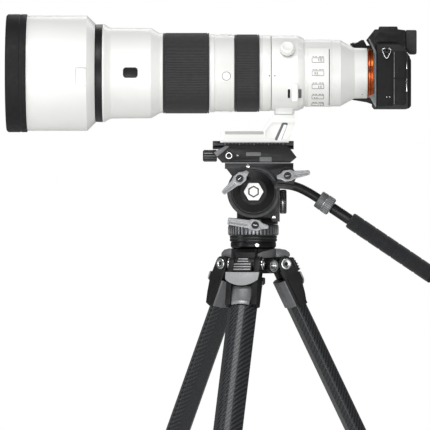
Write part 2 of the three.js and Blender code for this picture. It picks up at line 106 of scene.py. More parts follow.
# ------------------------------------------------------------------------------ modelling tools
def start(name: str) -> bpy.types.Object:
    """Adds one vertex at the origin and leaves it selected in edit mode.

    Args:
        name: The new object's name.

    Returns:
        The object.
    """
    bpy.ops.object.select_all(action="DESELECT")
    bpy.ops.mesh.primitive_plane_add(size=MM, location=(0, 0, 0))
    obj = bpy.context.object
    obj.name = obj.data.name = name
    bpy.ops.object.mode_set(mode="EDIT")
    bpy.ops.mesh.select_all(action="SELECT")
    bpy.ops.mesh.merge(type="CENTER")
    return obj


def draw_chain(points: Sequence[Vector]) -> None:
    """Moves the one selected vertex to the first point and extrudes it through the others."""
    bpy.ops.transform.translate(value=points[0])
    for before, after in zip(points, points[1:]):
        bpy.ops.mesh.extrude_region_move(TRANSFORM_OT_translate={"value": after - before})


def close_chain(obj: bpy.types.Object) -> None:
    """Joins the two ends of an open chain with an edge."""
    mesh = bmesh.from_edit_mesh(obj.data)
    for vertex in mesh.verts:
        vertex.select = len(vertex.link_edges) == 1
    mesh.select_flush(True)
    bmesh.update_edit_mesh(obj.data)
    bpy.ops.mesh.edge_face_add()


def tidy_shell(inside: bool = False) -> None:
    """Merges doubles, turns the faces outwards and leaves edit mode."""
    bpy.ops.mesh.select_all(action="SELECT")
    bpy.ops.mesh.remove_doubles(threshold=MM * 0.001)
    bpy.ops.mesh.normals_make_consistent(inside=inside)
    bpy.ops.object.mode_set(mode="OBJECT")


def across(axis: Axis, along: float, u: float, v: float) -> Vector:
    """Places a point that is `along` an axis and (u, v) across it, in metres.

    Args:
        axis: The axis that the point lies along.
        along: Distance on the axis, in millimetres.
        u: First crossing distance: Y, X or X for the axes X, Y and Z.
        v: Second crossing distance: Z, Z or Y for the axes X, Y and Z.

    Returns:
        The point.
    """
    if axis is Axis.X:
        return Vector((along, u, v)) * MM
    if axis is Axis.Y:
        return Vector((u, along, v)) * MM
    return Vector((u, v, along)) * MM


def turned(name: str, axis: Axis, profile: Sequence[Point2], steps: int = FINE,
           at: Point3 = (0, 0, 0)) -> bpy.types.Object:
    """Spins a profile round an axis through a point.

    Args:
        name: The piece's name.
        axis: The axis to spin round.
        profile: Points of (distance along, radius); a ring's profile is closed here.
        steps: How many steps a full turn has.
        at: A point on the axis, in millimetres.

    Returns:
        The piece, still at its local place.
    """
    obj = start(name)
    draw_chain([across(axis, s, 0, r) for s, r in profile])
    if profile[0][1] > 0:
        close_chain(obj)
    bpy.ops.mesh.select_all(action="SELECT")
    bpy.ops.mesh.spin(steps=steps, angle=math.tau, center=(0, 0, 0), axis=axis.value)
    tidy_shell()
    obj.data.transform(Matrix.Translation(Vector(at) * MM))
    return obj


def pulled(name: str, axis: Axis, outline: Sequence[Point2], low: float, high: float) -> bpy.types.Object:
    """Pulls a flat outline straight along an axis.

    Args:
        name: The piece's name.
        axis: The axis to pull along.
        outline: Corner points across the axis, in millimetres.
        low: Where the pull starts.
        high: Where it ends.

    Returns:
        The piece.
    """
    obj = start(name)
    draw_chain([across(axis, low, u, v) for u, v in outline])
    bpy.ops.mesh.select_all(action="SELECT")
    bpy.ops.mesh.edge_face_add()
    step = Vector(axis.value) * (high - low) * MM
    bpy.ops.mesh.extrude_region_move(TRANSFORM_OT_translate={"value": step})
    tidy_shell()
    return obj


def block(name: str, x: Point2, y: Point2, z: Point2) -> bpy.types.Object:
    """Makes a box between limits, as a start for bevels and cuts."""
    outline = [(x[0], y[0]), (x[1], y[0]), (x[1], y[1]), (x[0], y[1])]
    return pulled(name, Axis.Z, outline, z[0], z[1])


def rounded(u: Point2, v: Point2, radius: float, steps: int = 4) -> list[tuple[float, float]]:
    """Gives the outline of a rectangle with round corners.

    Args:
        u: Low and high limits of the first direction.
        v: Low and high limits of the second direction.
        radius: The corners' radius.
        steps: Facets on each corner.

    Returns:
        The outline's points, anticlockwise.
    """
    centres = [(u[1] - radius, v[1] - radius), (u[0] + radius, v[1] - radius),
               (u[0] + radius, v[0] + radius), (u[1] - radius, v[0] + radius)]
    points: list[tuple[float, float]] = []
    for quarter, centre in enumerate(centres):
        points += arc(centre, radius, quarter * 90, quarter * 90 + 90, steps)
    return points


def arc(centre: Point2, radius: float, first: float, last: float, steps: int) -> list[tuple[float, float]]:
    """Gives points along a circular arc, both ends included, with angles in degrees."""
    turns = [math.radians(first + (last - first) * i / steps) for i in range(steps + 1)]
    return [(centre[0] + radius * math.cos(a), centre[1] + radius * math.sin(a)) for a in turns]


def only(obj: bpy.types.Object) -> None:
    """Makes one object the only selected and the active one."""
    bpy.ops.object.select_all(action="DESELECT")
    obj.select_set(True)
    bpy.context.view_layer.objects.active = obj


def apply_modifier(obj: bpy.types.Object, kind: str, **settings: Any) -> bpy.types.Object:
    """Adds a modifier with its settings and applies it.

    Args:
        obj: The piece to change.
        kind: The modifier's type.
        **settings: The modifier's own values.

    Returns:
        The same piece.
    """
    only(obj)
    modifier = obj.modifiers.new(kind.title(), kind)
    for key, value in settings.items():
        setattr(modifier, key, value)
    bpy.ops.object.modifier_apply(modifier=modifier.name)
    return obj


def soften(obj: bpy.types.Object, width: float, segments: int = 2, angle: float = 30) -> bpy.types.Object:
    """Rounds every edge sharper than an angle, with a width in millimetres."""
    return apply_modifier(obj, "BEVEL", width=width * MM, segments=segments, limit_method="ANGLE",
                          angle_limit=math.radians(angle), use_clamp_overlap=True)


def cut(obj: bpy.types.Object, *tools: bpy.types.Object) -> bpy.types.Object:
    """Takes tools away from a piece and removes them."""
    for tool in tools:
        apply_modifier(obj, "BOOLEAN", operation="DIFFERENCE", solver="EXACT", object=tool)
        bpy.data.objects.remove(tool)
    return obj


def merge(name: str, pieces: Iterable[bpy.types.Object]) -> bpy.types.Object:
    """Joins finished shapes into one object."""
    parts = list(pieces)
    only(parts[0])
    for part in parts[1:]:
        part.select_set(True)
    bpy.ops.object.join()
    parts[0].name = parts[0].data.name = name
    return parts[0]


def copies(obj: bpy.types.Object, places: Iterable[Matrix]) -> list[bpy.types.Object]:
    """Copies a piece, each with its own mesh, and removes the pattern.

    Args:
        obj: The pattern piece.
        places: One matrix for each copy.

    Returns:
        The copies.
    """
    made = []
    for place in places:
        twin = obj.copy()
        twin.data = obj.data.copy()
        twin.data.transform(place)
        bpy.context.collection.objects.link(twin)
        made.append(twin)
    bpy.data.objects.remove(obj)
    return made


def spun_copies(obj: bpy.types.Object, axis: Axis, count: int, at: Point3 = (0, 0, 0)) -> bpy.types.Object:
    """Repeats a small piece all round an axis, inside one mesh.

    Args:
        obj: The piece to repeat.
        axis: The axis to turn round.
        count: How many there are in a full turn.
        at: A point on the axis, in millimetres.

    Returns:
        The same object.
    """
    only(obj)
    bpy.ops.object.mode_set(mode="EDIT")
    bpy.ops.mesh.select_all(action="SELECT")
    bpy.ops.mesh.spin(steps=count - 1, angle=math.tau * (count - 1) / count, dupli=True,
                      center=Vector(at) * MM, axis=axis.value)
    bpy.ops.object.mode_set(mode="OBJECT")
    return obj


def smooth(obj: bpy.types.Object, angle: float = 32) -> bpy.types.Object:
    """Shades a piece smooth except across edges sharper than an angle."""
    only(obj)
    bpy.ops.object.shade_smooth_by_angle(angle=math.radians(angle))
    return obj


# ------------------------------------------------------------------------------------- finishes
def linear(code: str) -> tuple[float, float, float, float]:
    """Turns an sRGB hex colour into linear light.

    Args:
        code: Six hex digits after a #.

    Returns:
        Red, green, blue and full opacity.
    """
    values = [int(code[i:i + 2], 16) / 255 for i in (1, 3, 5)]
    light = [v / 12.92 if v <= 0.04045 else ((v + 0.055) / 1.055) ** 2.4 for v in values]
    return light[0], light[1], light[2], 1.0


def add_node(tree: bpy.types.NodeTree, kind: str, settings: dict[str, Any] | None = None,
             inputs: dict[Any, Any] | None = None) -> bpy.types.Node:
    """Adds one shader node with its settings and links.

    Args:
        tree: The material's or world's node tree.
        kind: The node's class name without ShaderNode.
        settings: Values of the node's own properties.
        inputs: Value or linked socket for each input, by name or number.

    Returns:
        The node.
    """
    node = tree.nodes.new("ShaderNode" + kind)
    for key, value in (settings or {}).items():
        setattr(node, key, value)
    for key, value in (inputs or {}).items():
        if isinstance(value, bpy.types.NodeSocket):
            tree.links.new(value, node.inputs[key])
        else:
            node.inputs[key].default_value = value
    return node


def per_size(size: float) -> float:
    """Gives the texture scale whose features are a size in millimetres."""
    return 1 / (size * MM)


@dataclass(frozen=True)
class Finish:
    """A real surface: two close colours that drift, a grain that catches light, and worn edges."""

    name: str
    base: str
    drift: str
    roughness: float
    grain: float  # size of the surface's grain, mm
    relief: float  # height of that grain, mm
    metallic: float = 0.0
    spread: float = 0.08  # how much the roughness varies
    cloud: float = 18.0  # size of the colour's drift, mm
    edge: str = ""  # colour of rubbed edges
    coat: float = 0.0
    sheen: float = 0.0
    ior: float = 1.5

    def build(self) -> bpy.types.Material:
        """Builds the material once, and gives the same one again."""
        known = bpy.data.materials.get(self.name)
        if known:
            return known
        material = bpy.data.materials.new(self.name)
        material.use_nodes = True
        tree = material.node_tree
        tree.nodes.clear()
        where = add_node(tree, "TexCoord").outputs["Object"]
        colour, roughness, normal = self.surface(tree, where)
        shader = add_node(tree, "BsdfPrincipled", inputs={
            "Base Color": colour, "Roughness": roughness, "Normal": normal, "Metallic": self.metallic,
            "IOR": self.ior,
            "Coat Weight": self.coat, "Coat Roughness": 0.12, "Sheen Weight": self.sheen,
        })
        add_node(tree, "OutputMaterial", inputs={"Surface": shader.outputs[0]})
        return material

    def surface(self, tree: bpy.types.NodeTree, where: bpy.types.NodeSocket) -> tuple[Any, Any, Any]:
        """Builds colour, roughness and normal.

        Args:
            tree: The material's tree.
            where: The coordinates to read.

        Returns:
            The three sockets.
        """
        colour = self.rub(tree, self.colour(tree, where))
        return colour, self.gloss(tree, where), self.bump(tree, where, None)

    def colour(self, tree: bpy.types.NodeTree, where: bpy.types.NodeSocket) -> Any:
        """Lets the base colour drift slowly towards the second one."""
        cloud = add_node(tree, "TexNoise",
                         inputs={"Vector": where, "Scale": per_size(self.cloud), "Detail": 4.0})
        mixed = add_node(tree, "Mix", {"data_type": "RGBA"}, {
            0: cloud.outputs[0], 6: linear(self.base), 7: linear(self.drift)})
        return mixed.outputs[2]

    def rub(self, tree: bpy.types.NodeTree, colour: Any) -> Any:
        """Lightens the edges where hands and bags rub them."""
        if not self.edge:
            return colour
        corner = add_node(tree, "NewGeometry").outputs["Pointiness"]
        worn = add_node(tree, "MapRange", inputs={0: corner, 1: 0.53, 2: 0.6, 3: 0.0, 4: 0.55})
        mixed = add_node(tree, "Mix", {"data_type": "RGBA"},
                         {0: worn.outputs[0], 6: colour, 7: linear(self.edge)})
        return mixed.outputs[2]

    def gloss(self, tree: bpy.types.NodeTree, where: bpy.types.NodeSocket) -> Any:
        """Varies the roughness with handling marks a few millimetres wide."""
        marks = add_node(tree, "TexNoise", inputs={"Vector": where, "Scale": per_size(6.0), "Detail": 6.0})
        spread = add_node(tree, "MapRange", inputs={
            0: marks.outputs[0], 1: 0.3, 2: 0.7, 3: self.roughness - self.spread,
            4: self.roughness + self.spread})
        return spread.outputs[0]

    def bump(self, tree: bpy.types.NodeTree, where: bpy.types.NodeSocket, under: Any) -> Any:
        """Raises the fine grain of the surface."""
        grain = add_node(tree, "TexNoise",
                         inputs={"Vector": where, "Scale": per_size(self.grain), "Detail": 3.0})
        inputs: dict[str, Any] = {"Height": grain.outputs[0], "Distance": self.relief * MM, "Strength": 1.0}
        if under is not None:
            inputs["Normal"] = under
        return add_node(tree, "Bump", inputs=inputs).outputs[0]


@dataclass(frozen=True)
class PebbledSkin(Finish):
    """Moulded leatherette: round pebbles a millimetre across with dark valleys between them."""

    def bump(self, tree: bpy.types.NodeTree, where: bpy.types.NodeSocket, under: Any) -> Any:
        """Raises the pebbles."""
        cells = add_node(tree, "TexVoronoi", {"feature": "SMOOTH_F1"},
                         {"Vector": where, "Scale": per_size(self.grain)})
        dome = add_node(tree, "MapRange",
                        inputs={0: cells.outputs["Distance"], 1: 0.0, 2: 0.7, 3: 1.0, 4: 0.0})
        return add_node(tree, "Bump", inputs={
            "Height": dome.outputs[0], "Distance": self.relief * MM, "Strength": 1.0}).outputs[0]


@dataclass(frozen=True)
class CarbonTwill(Finish):
    """Woven carbon cloth under clear resin: bright diagonal floats step across dark ones."""

    thread: float = 1.5  # width of a bundle of fibres, mm

    def surface(self, tree: bpy.types.NodeTree, where: bpy.types.NodeSocket) -> tuple[Any, Any, Any]:
        """Weaves two-over-two twill on the tube's own UV map, which is in metres round and along it."""
        wrap = add_node(tree, "UVMap", {"uv_map": "Wrap"}).outputs[0]
        cell = add_node(tree, "VectorMath", {"operation": "SCALE"}, {0: wrap, "Scale": per_size(self.thread)})
        parts = add_node(tree, "SeparateXYZ", inputs={0: cell.outputs[0]})
        columns = add_node(tree, "Math", {"operation": "FLOOR"}, {0: parts.outputs[0]})
        rows = add_node(tree, "Math", {"operation": "FLOOR"}, {0: parts.outputs[1]})
        both = add_node(tree, "Math", {"operation": "SUBTRACT"}, {0: columns.outputs[0], 1: rows.outputs[0]})
        step = add_node(tree, "Math", {"operation": "FLOORED_MODULO"}, {0: both.outputs[0], 1: 4.0})
        over = add_node(tree, "Math", {"operation": "LESS_THAN"}, {0: step.outputs[0], 1: 1.5})
        weft = add_node(tree, "Math", {"operation": "PINGPONG"}, {0: parts.outputs[1], 1: 0.5})
        warp = add_node(tree, "Math", {"operation": "PINGPONG"}, {0: parts.outputs[0], 1: 0.5})
        crown = add_node(tree, "Mix", inputs={0: over.outputs[0], 2: weft.outputs[0], 3: warp.outputs[0]})
        shade = add_node(tree, "Mix", {"data_type": "RGBA"}, {
            0: over.outputs[0], 6: linear(self.base), 7: linear(self.drift)})
        fibre = add_node(tree, "TexNoise", inputs={"Vector": cell.outputs[0], "Scale": 3.0, "Detail": 4.0})
        streak = add_node(tree, "MapRange", inputs={0: fibre.outputs[0], 1: 0.3, 2: 0.7, 3: 0.75, 4: 1.2})
        toned = add_node(tree, "VectorMath", {"operation": "SCALE"}, {
            0: shade.outputs[2], "Scale": streak.outputs[0]})
        rough = add_node(tree, "MapRange", inputs={
            0: over.outputs[0], 3: self.roughness - self.spread, 4: self.roughness + self.spread})
        raised = add_node(tree, "Bump", inputs={
            "Height": crown.outputs[0], "Distance": self.relief * MM, "Strength": 0.8})
        return toned.outputs[0], rough.outputs[0], raised.outputs[0]


# Baked white lacquer on light alloy: clean white with a faint orange-peel ripple.
WHITE_LACQUER = Finish(
    "white_lacquer", "#eff0ed", "#e8e9e6", 0.40, 0.9, 0.012, spread=0.05, cloud=60, coat=0.15)
# The same lacquer on moulded parts, a touch duller.
WHITE_MOULDING = Finish("white_moulding", "#f0f1ee", "#e9eae7", 0.48, 0.6, 0.012, spread=0.05, cloud=40)
# Soft rubber with a dusty bloom on its ribs.
GRIP_RUBBER = Finish("grip_rubber", "#1a1a1c", "#262628", 0.70, 0.5, 0.02, edge="#3e3e40", sheen=0.15)
# Harder, smoother rubber for bumpers and feet, with worn grey corners.
BUMPER_RUBBER = Finish("bumper_rubber", "#141416", "#1d1d1f", 0.62, 0.7, 0.03, edge="#303032", ior=1.33)
# Fine crinkle paint over magnesium: nearly black, sparkles softly in raking light.
CRINKLE_PAINT = Finish("crinkle_paint", "#0b0b0c", "#131314", 0.48, 0.45, 0.04, edge="#303032", ior=1.33)
# Pebbled grip covering: soft black with small domes that catch the light.
BODY_SKIN = PebbledSkin("body_skin", "#0a0a0b", "#121213", 0.60, 1.1, 0.10, ior=1.33)
# Hard black anodising: satin metal with bright rubbed corners.
BLACK_ANODISED = Finish("black_anodised", "#111113", "#19191c", 0.34, 0.3, 0.008, metallic=0.55,
                        edge="#6e6f71")
# Black powder coat on cast alloy, lightly rubbed at its corners.
BLACK_CAST = Finish("black_cast", "#0c0c0e", "#141416", 0.40, 0.5, 0.03, edge="#3c3d40", ior=1.36)
# Grey powder coat on cast alloy; also the grey of the painted highlights on the camera's front edge and on
# the clamp's bevelled end.
GREY_CAST = Finish("grey_cast", "#68696b", "#58595b", 0.45, 0.5, 0.03, metallic=0.40, edge="#a2a3a5")
# Paler, smoother grey coat on the legs' shields.
SHIELD_PAINT = Finish("shield_paint", "#97989a", "#88898b", 0.50, 0.5, 0.02, metallic=0.15, edge="#c4c5c7")
# Satin grey plating on levers, bright along its edges; the finger ribs of the angle stops wear it as painted
# highlights.
GREY_LEVER = Finish("grey_lever", "#8d8e90", "#7d7e80", 0.38, 0.4, 0.015, metallic=0.5, edge="#c6c7c9")
# Polished stainless steel; also the painted glint on the floor of the levers' screw slots.
BRIGHT_STEEL = Finish("bright_steel", "#cfd0d2", "#b9babc", 0.20, 0.4, 0.006, metallic=1.0)
# Orange anodised ring with long cloudy changes of tone.
ORANGE_ANODISED = Finish("orange_anodised", "#d0642a", "#a8431a", 0.28, 0.4, 0.006, metallic=0.9, cloud=9)
# Moulded black plastic with a soft shine.
BLACK_PLASTIC = Finish("black_plastic", "#0d0d0e", "#161617", 0.36, 0.6, 0.01, edge="#303032", ior=1.33)
# Flocked lining that swallows light.
DARK_FLOCK = Finish("dark_flock", "#0c0c0d", "#141415", 0.95, 0.4, 0.05, sheen=0.3)
# Closed-cell foam: matt, with a velvety rim.
FOAM_GRIP = Finish("foam_grip", "#141517", "#1f2022", 0.82, 0.7, 0.08, sheen=0.25, ior=1.33)
# Coated front glass: dark blue-green, mirror smooth.
COATED_GLASS = Finish("coated_glass", "#0a1016", "#101a22", 0.04, 30.0, 0.0, coat=1.0, spread=0.01)
# Screen glass: black and mirror smooth.
SCREEN_GLASS = Finish("screen_glass", "#08090a", "#0d0e10", 0.07, 30.0, 0.0, coat=1.0, spread=0.02)
# White filled marks.
WHITE_ENAMEL = Finish("white_enamel", "#f2f2f0", "#e6e6e4", 0.30, 0.5, 0.004)
# Dark printed marks.
MARK_INK = Finish("mark_ink", "#2a2a2c", "#3a3a3c", 0.5, 0.4, 0.004)
# Pale printed marks.
PALE_INK = Finish("pale_ink", "#b9bab8", "#a9aaa8", 0.5, 0.4, 0.004)
# Painted shade: the mid-grey that hollows in white parts fall into.
FOOT_SHADE = Finish("foot_shade", "#6a6e6f", "#5c6061", 0.6, 0.6, 0.01)
# Bright-edged ribbed alloy.
RIBBED_ALLOY = Finish("ribbed_alloy", "#55565a", "#48494c", 0.34, 0.4, 0.012, metallic=0.8, edge="#b0b1b3")
# Dark grey coat on cast alloy.
DARK_CAST = Finish("dark_cast", "#232426", "#1c1d1f", 0.40, 0.5, 0.025, metallic=0.45, edge="#6a6b6d")
# The dark of a narrow gap.
SHADOW_GAP = Finish("shadow_gap", "#070708", "#0c0c0d", 0.9, 0.5, 0.01)
# Woven carbon cloth under clear resin.
CARBON = CarbonTwill(
    "carbon_twill", "#17181a", "#303236", 0.42, 1.0, 0.10, metallic=0.25, spread=0.15, coat=0.15)


def dress(obj: bpy.types.Object, finish: Finish, body: str, slot: str, *nodes: str,
          place: Matrix | None = None, angle: float = 32) -> bpy.types.Object:
    """Places a finished shape, gives it its material and ties it to the frame.

    Args:
        obj: The shape, in its local place.
        finish: Its surface.
        body: The body that it rides on.
        slot: The record's material slot; not used.
        *nodes: The CAD nodes that it stands for.
        place: The matrix from its local place to the frame; the datum if left out.
        angle: Edges sharper than this stay sharp.

    Returns:
        The piece.
    """
    smooth(obj, angle)
    obj.data.transform(place if place is not None else at_datum())
    obj.data.materials.clear()
    obj.data.materials.append(finish.build())
    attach(obj, body)
    if nodes:
        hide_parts(*nodes)
    LOG.info("%s rides on %s", obj.name, body)
    return obj


# ------------------------------------------------------------------------------- shared shapes
def filleted(points: Sequence[Point2], radius: float, steps: int = 4) -> list[tuple[float, float]]:
    """Rounds every corner of a flat outline.

    Args:
        points: The outline's corners, in order.
        radius: The fillet's radius, made smaller where a side is too short.
        steps: Facets on each corner.

    Returns:
        The rounded outline.
    """
    rounded_points: list[tuple[float, float]] = []
    for i, corner in enumerate(points):
        here = Vector(corner)
        back, ahead = Vector(points[i - 1]) - here, Vector(points[(i + 1) % len(points)]) - here
        half = back.angle(ahead) / 2
        reach = min(radius / math.tan(half), back.length * 0.48, ahead.length * 0.48)
        first, last = here + back.normalized() * reach, here + ahead.normalized() * reach
        for step in range(steps + 1):
            t = step / steps
            point = first * (1 - t) ** 2 + here * 2 * t * (1 - t) + last * t ** 2
            rounded_points.append((point.x, point.y))
    return rounded_points


def facing(at: Point3, out: Point3) -> Matrix:
    """Gives the matrix that stands a piece drawn along local Z on a point, pointing outwards.

    Args:
        at: The point, in datum millimetres.
        out: The direction that local Z takes.

    Returns:
        The placing matrix; towards -Y, local X and Y become X and Z.
    """
    turn = Vector(out).to_track_quat("Z", "Y").to_matrix().to_4x4()
    return at_datum() @ Matrix.Translation(Vector(at) * MM) @ turn


def near(x: float, y: float, z: float) -> Matrix:
    """Stands a piece on a point of the near side, pointing towards -Y."""
    return facing((x, y, z), (0, -1, 0))


def about_lens(degrees: float) -> Matrix:
    """Turns a placed piece about the lens's axis; positive lifts the near side."""
    return at_datum() @ Matrix.Rotation(-math.radians(degrees), 4, "X") @ at_datum().inverted()


def disc(name: str, radius: float, low: float, high: float, edge: float = 0.4, steps: int = MEDIUM,
         axis: Axis = Axis.Z, at: Point3 = (0, 0, 0)) -> bpy.types.Object:
    """Makes a short rod with rounded rims."""
    return soften(turned(name, axis, [(low, 0), (low, radius), (high, radius), (high, 0)], steps, at), edge)


def ring(name: str, inner: float, outer: float, low: float, high: float, edge: float = 0.3,
         steps: int = MEDIUM,
         axis: Axis = Axis.Z, at: Point3 = (0, 0, 0)) -> bpy.types.Object:
    """Makes a ring with rounded rims."""
    profile = [(low, inner), (low, outer), (high, outer), (high, inner)]
    return soften(turned(name, axis, profile, steps, at), edge)


def slab(name: str, outline: Sequence[Point2], low: float, high: float, edge: float = 0.4,
         axis: Axis = Axis.Z) -> bpy.types.Object:
    """Pulls an outline and rounds its edges."""
    return soften(pulled(name, axis, outline, low, high), edge)


def wrapped(name: str, outline: Sequence[Point2], low: float, high: float) -> bpy.types.Object:
    """Lays an (x, z) outline on the near side of the lens, between two radii."""
    plate = pulled(name, Axis.Y, outline, -high - 2, -low * 0.2)
    xs = [x for x, _ in outline]
    profile = [(min(xs) - 2, low), (min(xs) - 2, high), (max(xs) + 2, high), (max(xs) + 2, low)]
    sleeve = turned("sleeve", Axis.X, profile, 192)
    apply_modifier(plate, "BOOLEAN", operation="INTERSECT", solver="EXACT", object=sleeve)
    bpy.data.objects.remove(sleeve)
    return plate


def sector(name: str, profile: Sequence[Point2], first: float, last: float, steps: int) -> bpy.types.Object:
    """Spins a closed (x, radius) profile part of the way round the lens's axis on the near side.

    Args:
        name: The piece's name.
        profile: Points of (x, radius).
        first: Angle above the near side where it starts, in degrees.
        last: Angle where it ends.
        steps: Facets along it.

    Returns:
        The piece.
    """
    obj = start(name)
    draw_chain([Vector((x, -r, 0)) * MM for x, r in profile])
    bpy.ops.mesh.select_all(action="SELECT")
    bpy.ops.mesh.edge_face_add()
    bpy.ops.transform.rotate(value=math.radians(first), orient_axis="X", center_override=(0, 0, 0))
    sweep = math.radians(last - first)
    bpy.ops.mesh.spin(steps=steps, angle=sweep, center=(0, 0, 0), axis=Axis.X.value)
    tidy_shell()
    return obj


def refined(node: str, width: float, segments: int = 2, angle: float = 25) -> bpy.types.Object:
    """Copies a CAD node, joins its loose triangles into whole faces and rounds its edges.

    Args:
        node: The CAD node's name.
        width: The rounding's width in millimetres.
        segments: Facets on each rounded edge.
        angle: Edges sharper than this are rounded.

    Returns:
        The copy, in the frame's own place.
    """
    obj = frame["nodes"][node].copy()
    obj.data = obj.data.copy()
    for key in list(obj.keys()):
        del obj[key]
    bpy.context.collection.objects.link(obj)
    obj.parent = None
    obj.hide_render = obj.hide_viewport = False
    obj.name = obj.data.name = node + "_shell"
    only(obj)
    bpy.ops.object.mode_set(mode="EDIT")
    bpy.ops.mesh.select_all(action="SELECT")
    bpy.ops.mesh.remove_doubles(threshold=MM * 0.01)
    bpy.ops.mesh.dissolve_limited(angle_limit=math.radians(1.0))
    tidy_shell()
    return soften(obj, width, segments, angle)


HERE = Matrix.Identity(4)


class Drive(Enum):
    """What a screw's head takes."""

    HEX = 6
    SLOT = 2


@dataclass(frozen=True)
class Screw:
    """A cap screw's head, drawn standing along local Z."""

    radius: float
    height: float = 1.2
    drive: Drive = Drive.HEX

    def shape(self, name: str) -> bpy.types.Object:
        """Turns the head and cuts its drive."""
        r, h = self.radius, self.height
        head = turned(name, Axis.Z, [(-0.6, 0), (-0.6, r), (h * 0.7, r), (h, r * 0.82), (h, 0)], SMALL)
        if self.drive is Drive.HEX:
            recess = arc((0, 0), r * 0.52, 0, 300, 5)
        else:
            recess = [(-r * 1.2, -r * 0.14), (r * 1.2, -r * 0.14), (r * 1.2, r * 0.14), (-r * 1.2, r * 0.14)]
        cut(head, pulled("recess", Axis.Z, recess, h * 0.35, h + 1))
        return soften(head, 0.08, 1)

    def fit(self, name: str, body: str, place: Matrix, finish: Finish | None = None) -> None:
        """Sets the screw in its place on a body."""
        dress(self.shape(name), finish or BRIGHT_STEEL, body, "steel", place=place)


@dataclass(frozen=True)
class Knob:
    """A ribbed knob, drawn standing along local Z with its face at the top."""

    radius: float
    height: float
    ribs: int
    rib: float = 0.35  # how far the ribs stand out
    crown: float = 0.9
    dish: float = 0.5

    def shape(self, name: str) -> bpy.types.Object:
        """Turns the knob and sets ribs round it."""
        r, h = self.radius - self.rib, self.height
        inner = r * 0.62
        body = turned(name, Axis.Z, [
            (0, 0), (0, r - 0.4), (0.4, r), (h - self.crown, r), (h, r - self.crown), (h, inner),
            (h - self.dish, inner - 0.5), (h - self.dish, 0)], MEDIUM)
        soften(body, 0.2)
        wide = math.tau * r / self.ribs * 0.27
        rib = block("rib", (r - 0.3, r + self.rib), (-wide, wide), (0.7, h - self.crown - 0.2))
        soften(rib, 0.15, 1)
        return merge(name, [body, spun_copies(rib, Axis.Z, self.ribs)])


# ----------------------------------------------------------------------------------------- lens
@dataclass(frozen=True)
class LensHood:
    """The deep hood: lacquered shell, flocked lining, rubber bumper and its sprung catch."""

    front: float = -286.0
    bumper_end: float = -262.0
    neck: float = -192.6
    rear: float = -183.2
    outer: float = 66.75
    bumper: float = 68.45
    catch_x: tuple[float, float] = (-204.3, -192.7)
    catch_z: tuple[float, float] = (-15.8, 4.8)

    def build(self) -> None:
        """Builds the hood's pieces."""
        self.shell()
        self.rim()
        self.catch()

    def shell(self) -> None:
        """Builds the shell with the catch's pocket, and its lining."""
        shell = turned("hood_shell", Axis.X, [
            (self.bumper_end, self.outer), (self.neck, self.outer), (self.rear, 57.5), (self.rear, 53.8),
            (-197, 53.8), (-199.5, 60.5), (self.bumper_end, 62.8)], 128)
        x, z = self.catch_x, self.catch_z
        pocket = rounded((x[0] - 0.6, x[1] + 0.6), (z[0] - 0.6, z[1] + 0.6), 2.2)
        cut(shell, pulled("pocket", Axis.Y, pocket, -72, -64.5))
        soften(shell, 0.7, 3)
        dress(shell, WHITE_LACQUER, "lens_hood", "white_shell", "hood")
        lining = turned("hood_lining", Axis.X, [
            (self.bumper_end - 0.2, 62.5), (-200, 60.2), (-200, 59.9), (self.bumper_end - 0.2, 62.2)], 128)
        dress(lining, DARK_FLOCK, "lens_hood", "black_paint")

    def rim(self) -> None:
        """Builds the rubber bumper, with a moulded groove round it."""
        front, end, r = self.front, self.bumper_end - 0.3, self.bumper
        rim = turned("hood_rim", Axis.X, [
            (front, 62.3), (front, r - 1.8), (front + 2, r), (front + 15.6, r), (front + 16, r - 0.5),
            (front + 17, r - 0.5), (front + 17.4, r), (end, r), (end, 62.8)], 128)
        soften(rim, 0.45, 3)
        dress(rim, BUMPER_RUBBER, "lens_hood", "rubber", "hood_bumper")

    def catch(self) -> None:
        """Builds the catch's face, with four thumb ridges."""
        face = wrapped("hood_catch", rounded(self.catch_x, self.catch_z, 1.8), 63.8, 67.0)
        soften(face, 0.35)
        middle = sum(self.catch_x) / 2
        ridges = [wrapped("ridge", rounded((middle - 3.6, middle + 3.6), (z, z + 0.7), 0.3), 66.6, 67.25)
                  for z in (-8.3, -6.7, -5.1, -3.5)]
        catch = merge("hood_catch", [face, *ridges])
        dress(catch, WHITE_MOULDING, "hood_catch", "white_shell", "hood_release_button")


@dataclass(frozen=True)
class RubberRing:
    """A turning ring: a sleeve with raised rims and ribs along the lens."""

    node: str
    body: str
    start: float
    end: float
    inner: float
    outer: float
    ribs: int

    def build(self) -> None:
        """Builds the sleeve and its ribs as one piece."""
        floor = self.outer - 0.9
        sleeve = turned(self.node + "_sleeve", Axis.X, [
            (self.start, self.inner), (self.start, self.outer - 0.1), (self.start + 1.5, self.outer - 0.1),
            (self.start + 1.8, floor), (self.end - 1.8, floor), (self.end - 1.5, self.outer - 0.1),
            (self.end, self.outer - 0.1), (self.end, self.inner)], 128)
        soften(sleeve, 0.25)
        wide = math.tau * self.outer / self.ribs * 0.3
        rib = block("rib", (self.start + 2.2, self.end - 2.2), (-wide, wide), (floor - 0.3, self.outer))
        ribs = spun_copies(soften(rib, 0.3, 1), Axis.X, self.ribs)
        grip = merge(self.node + "_sleeve", [sleeve, ribs])
        dress(grip, GRIP_RUBBER, self.body, "rubber", self.node)


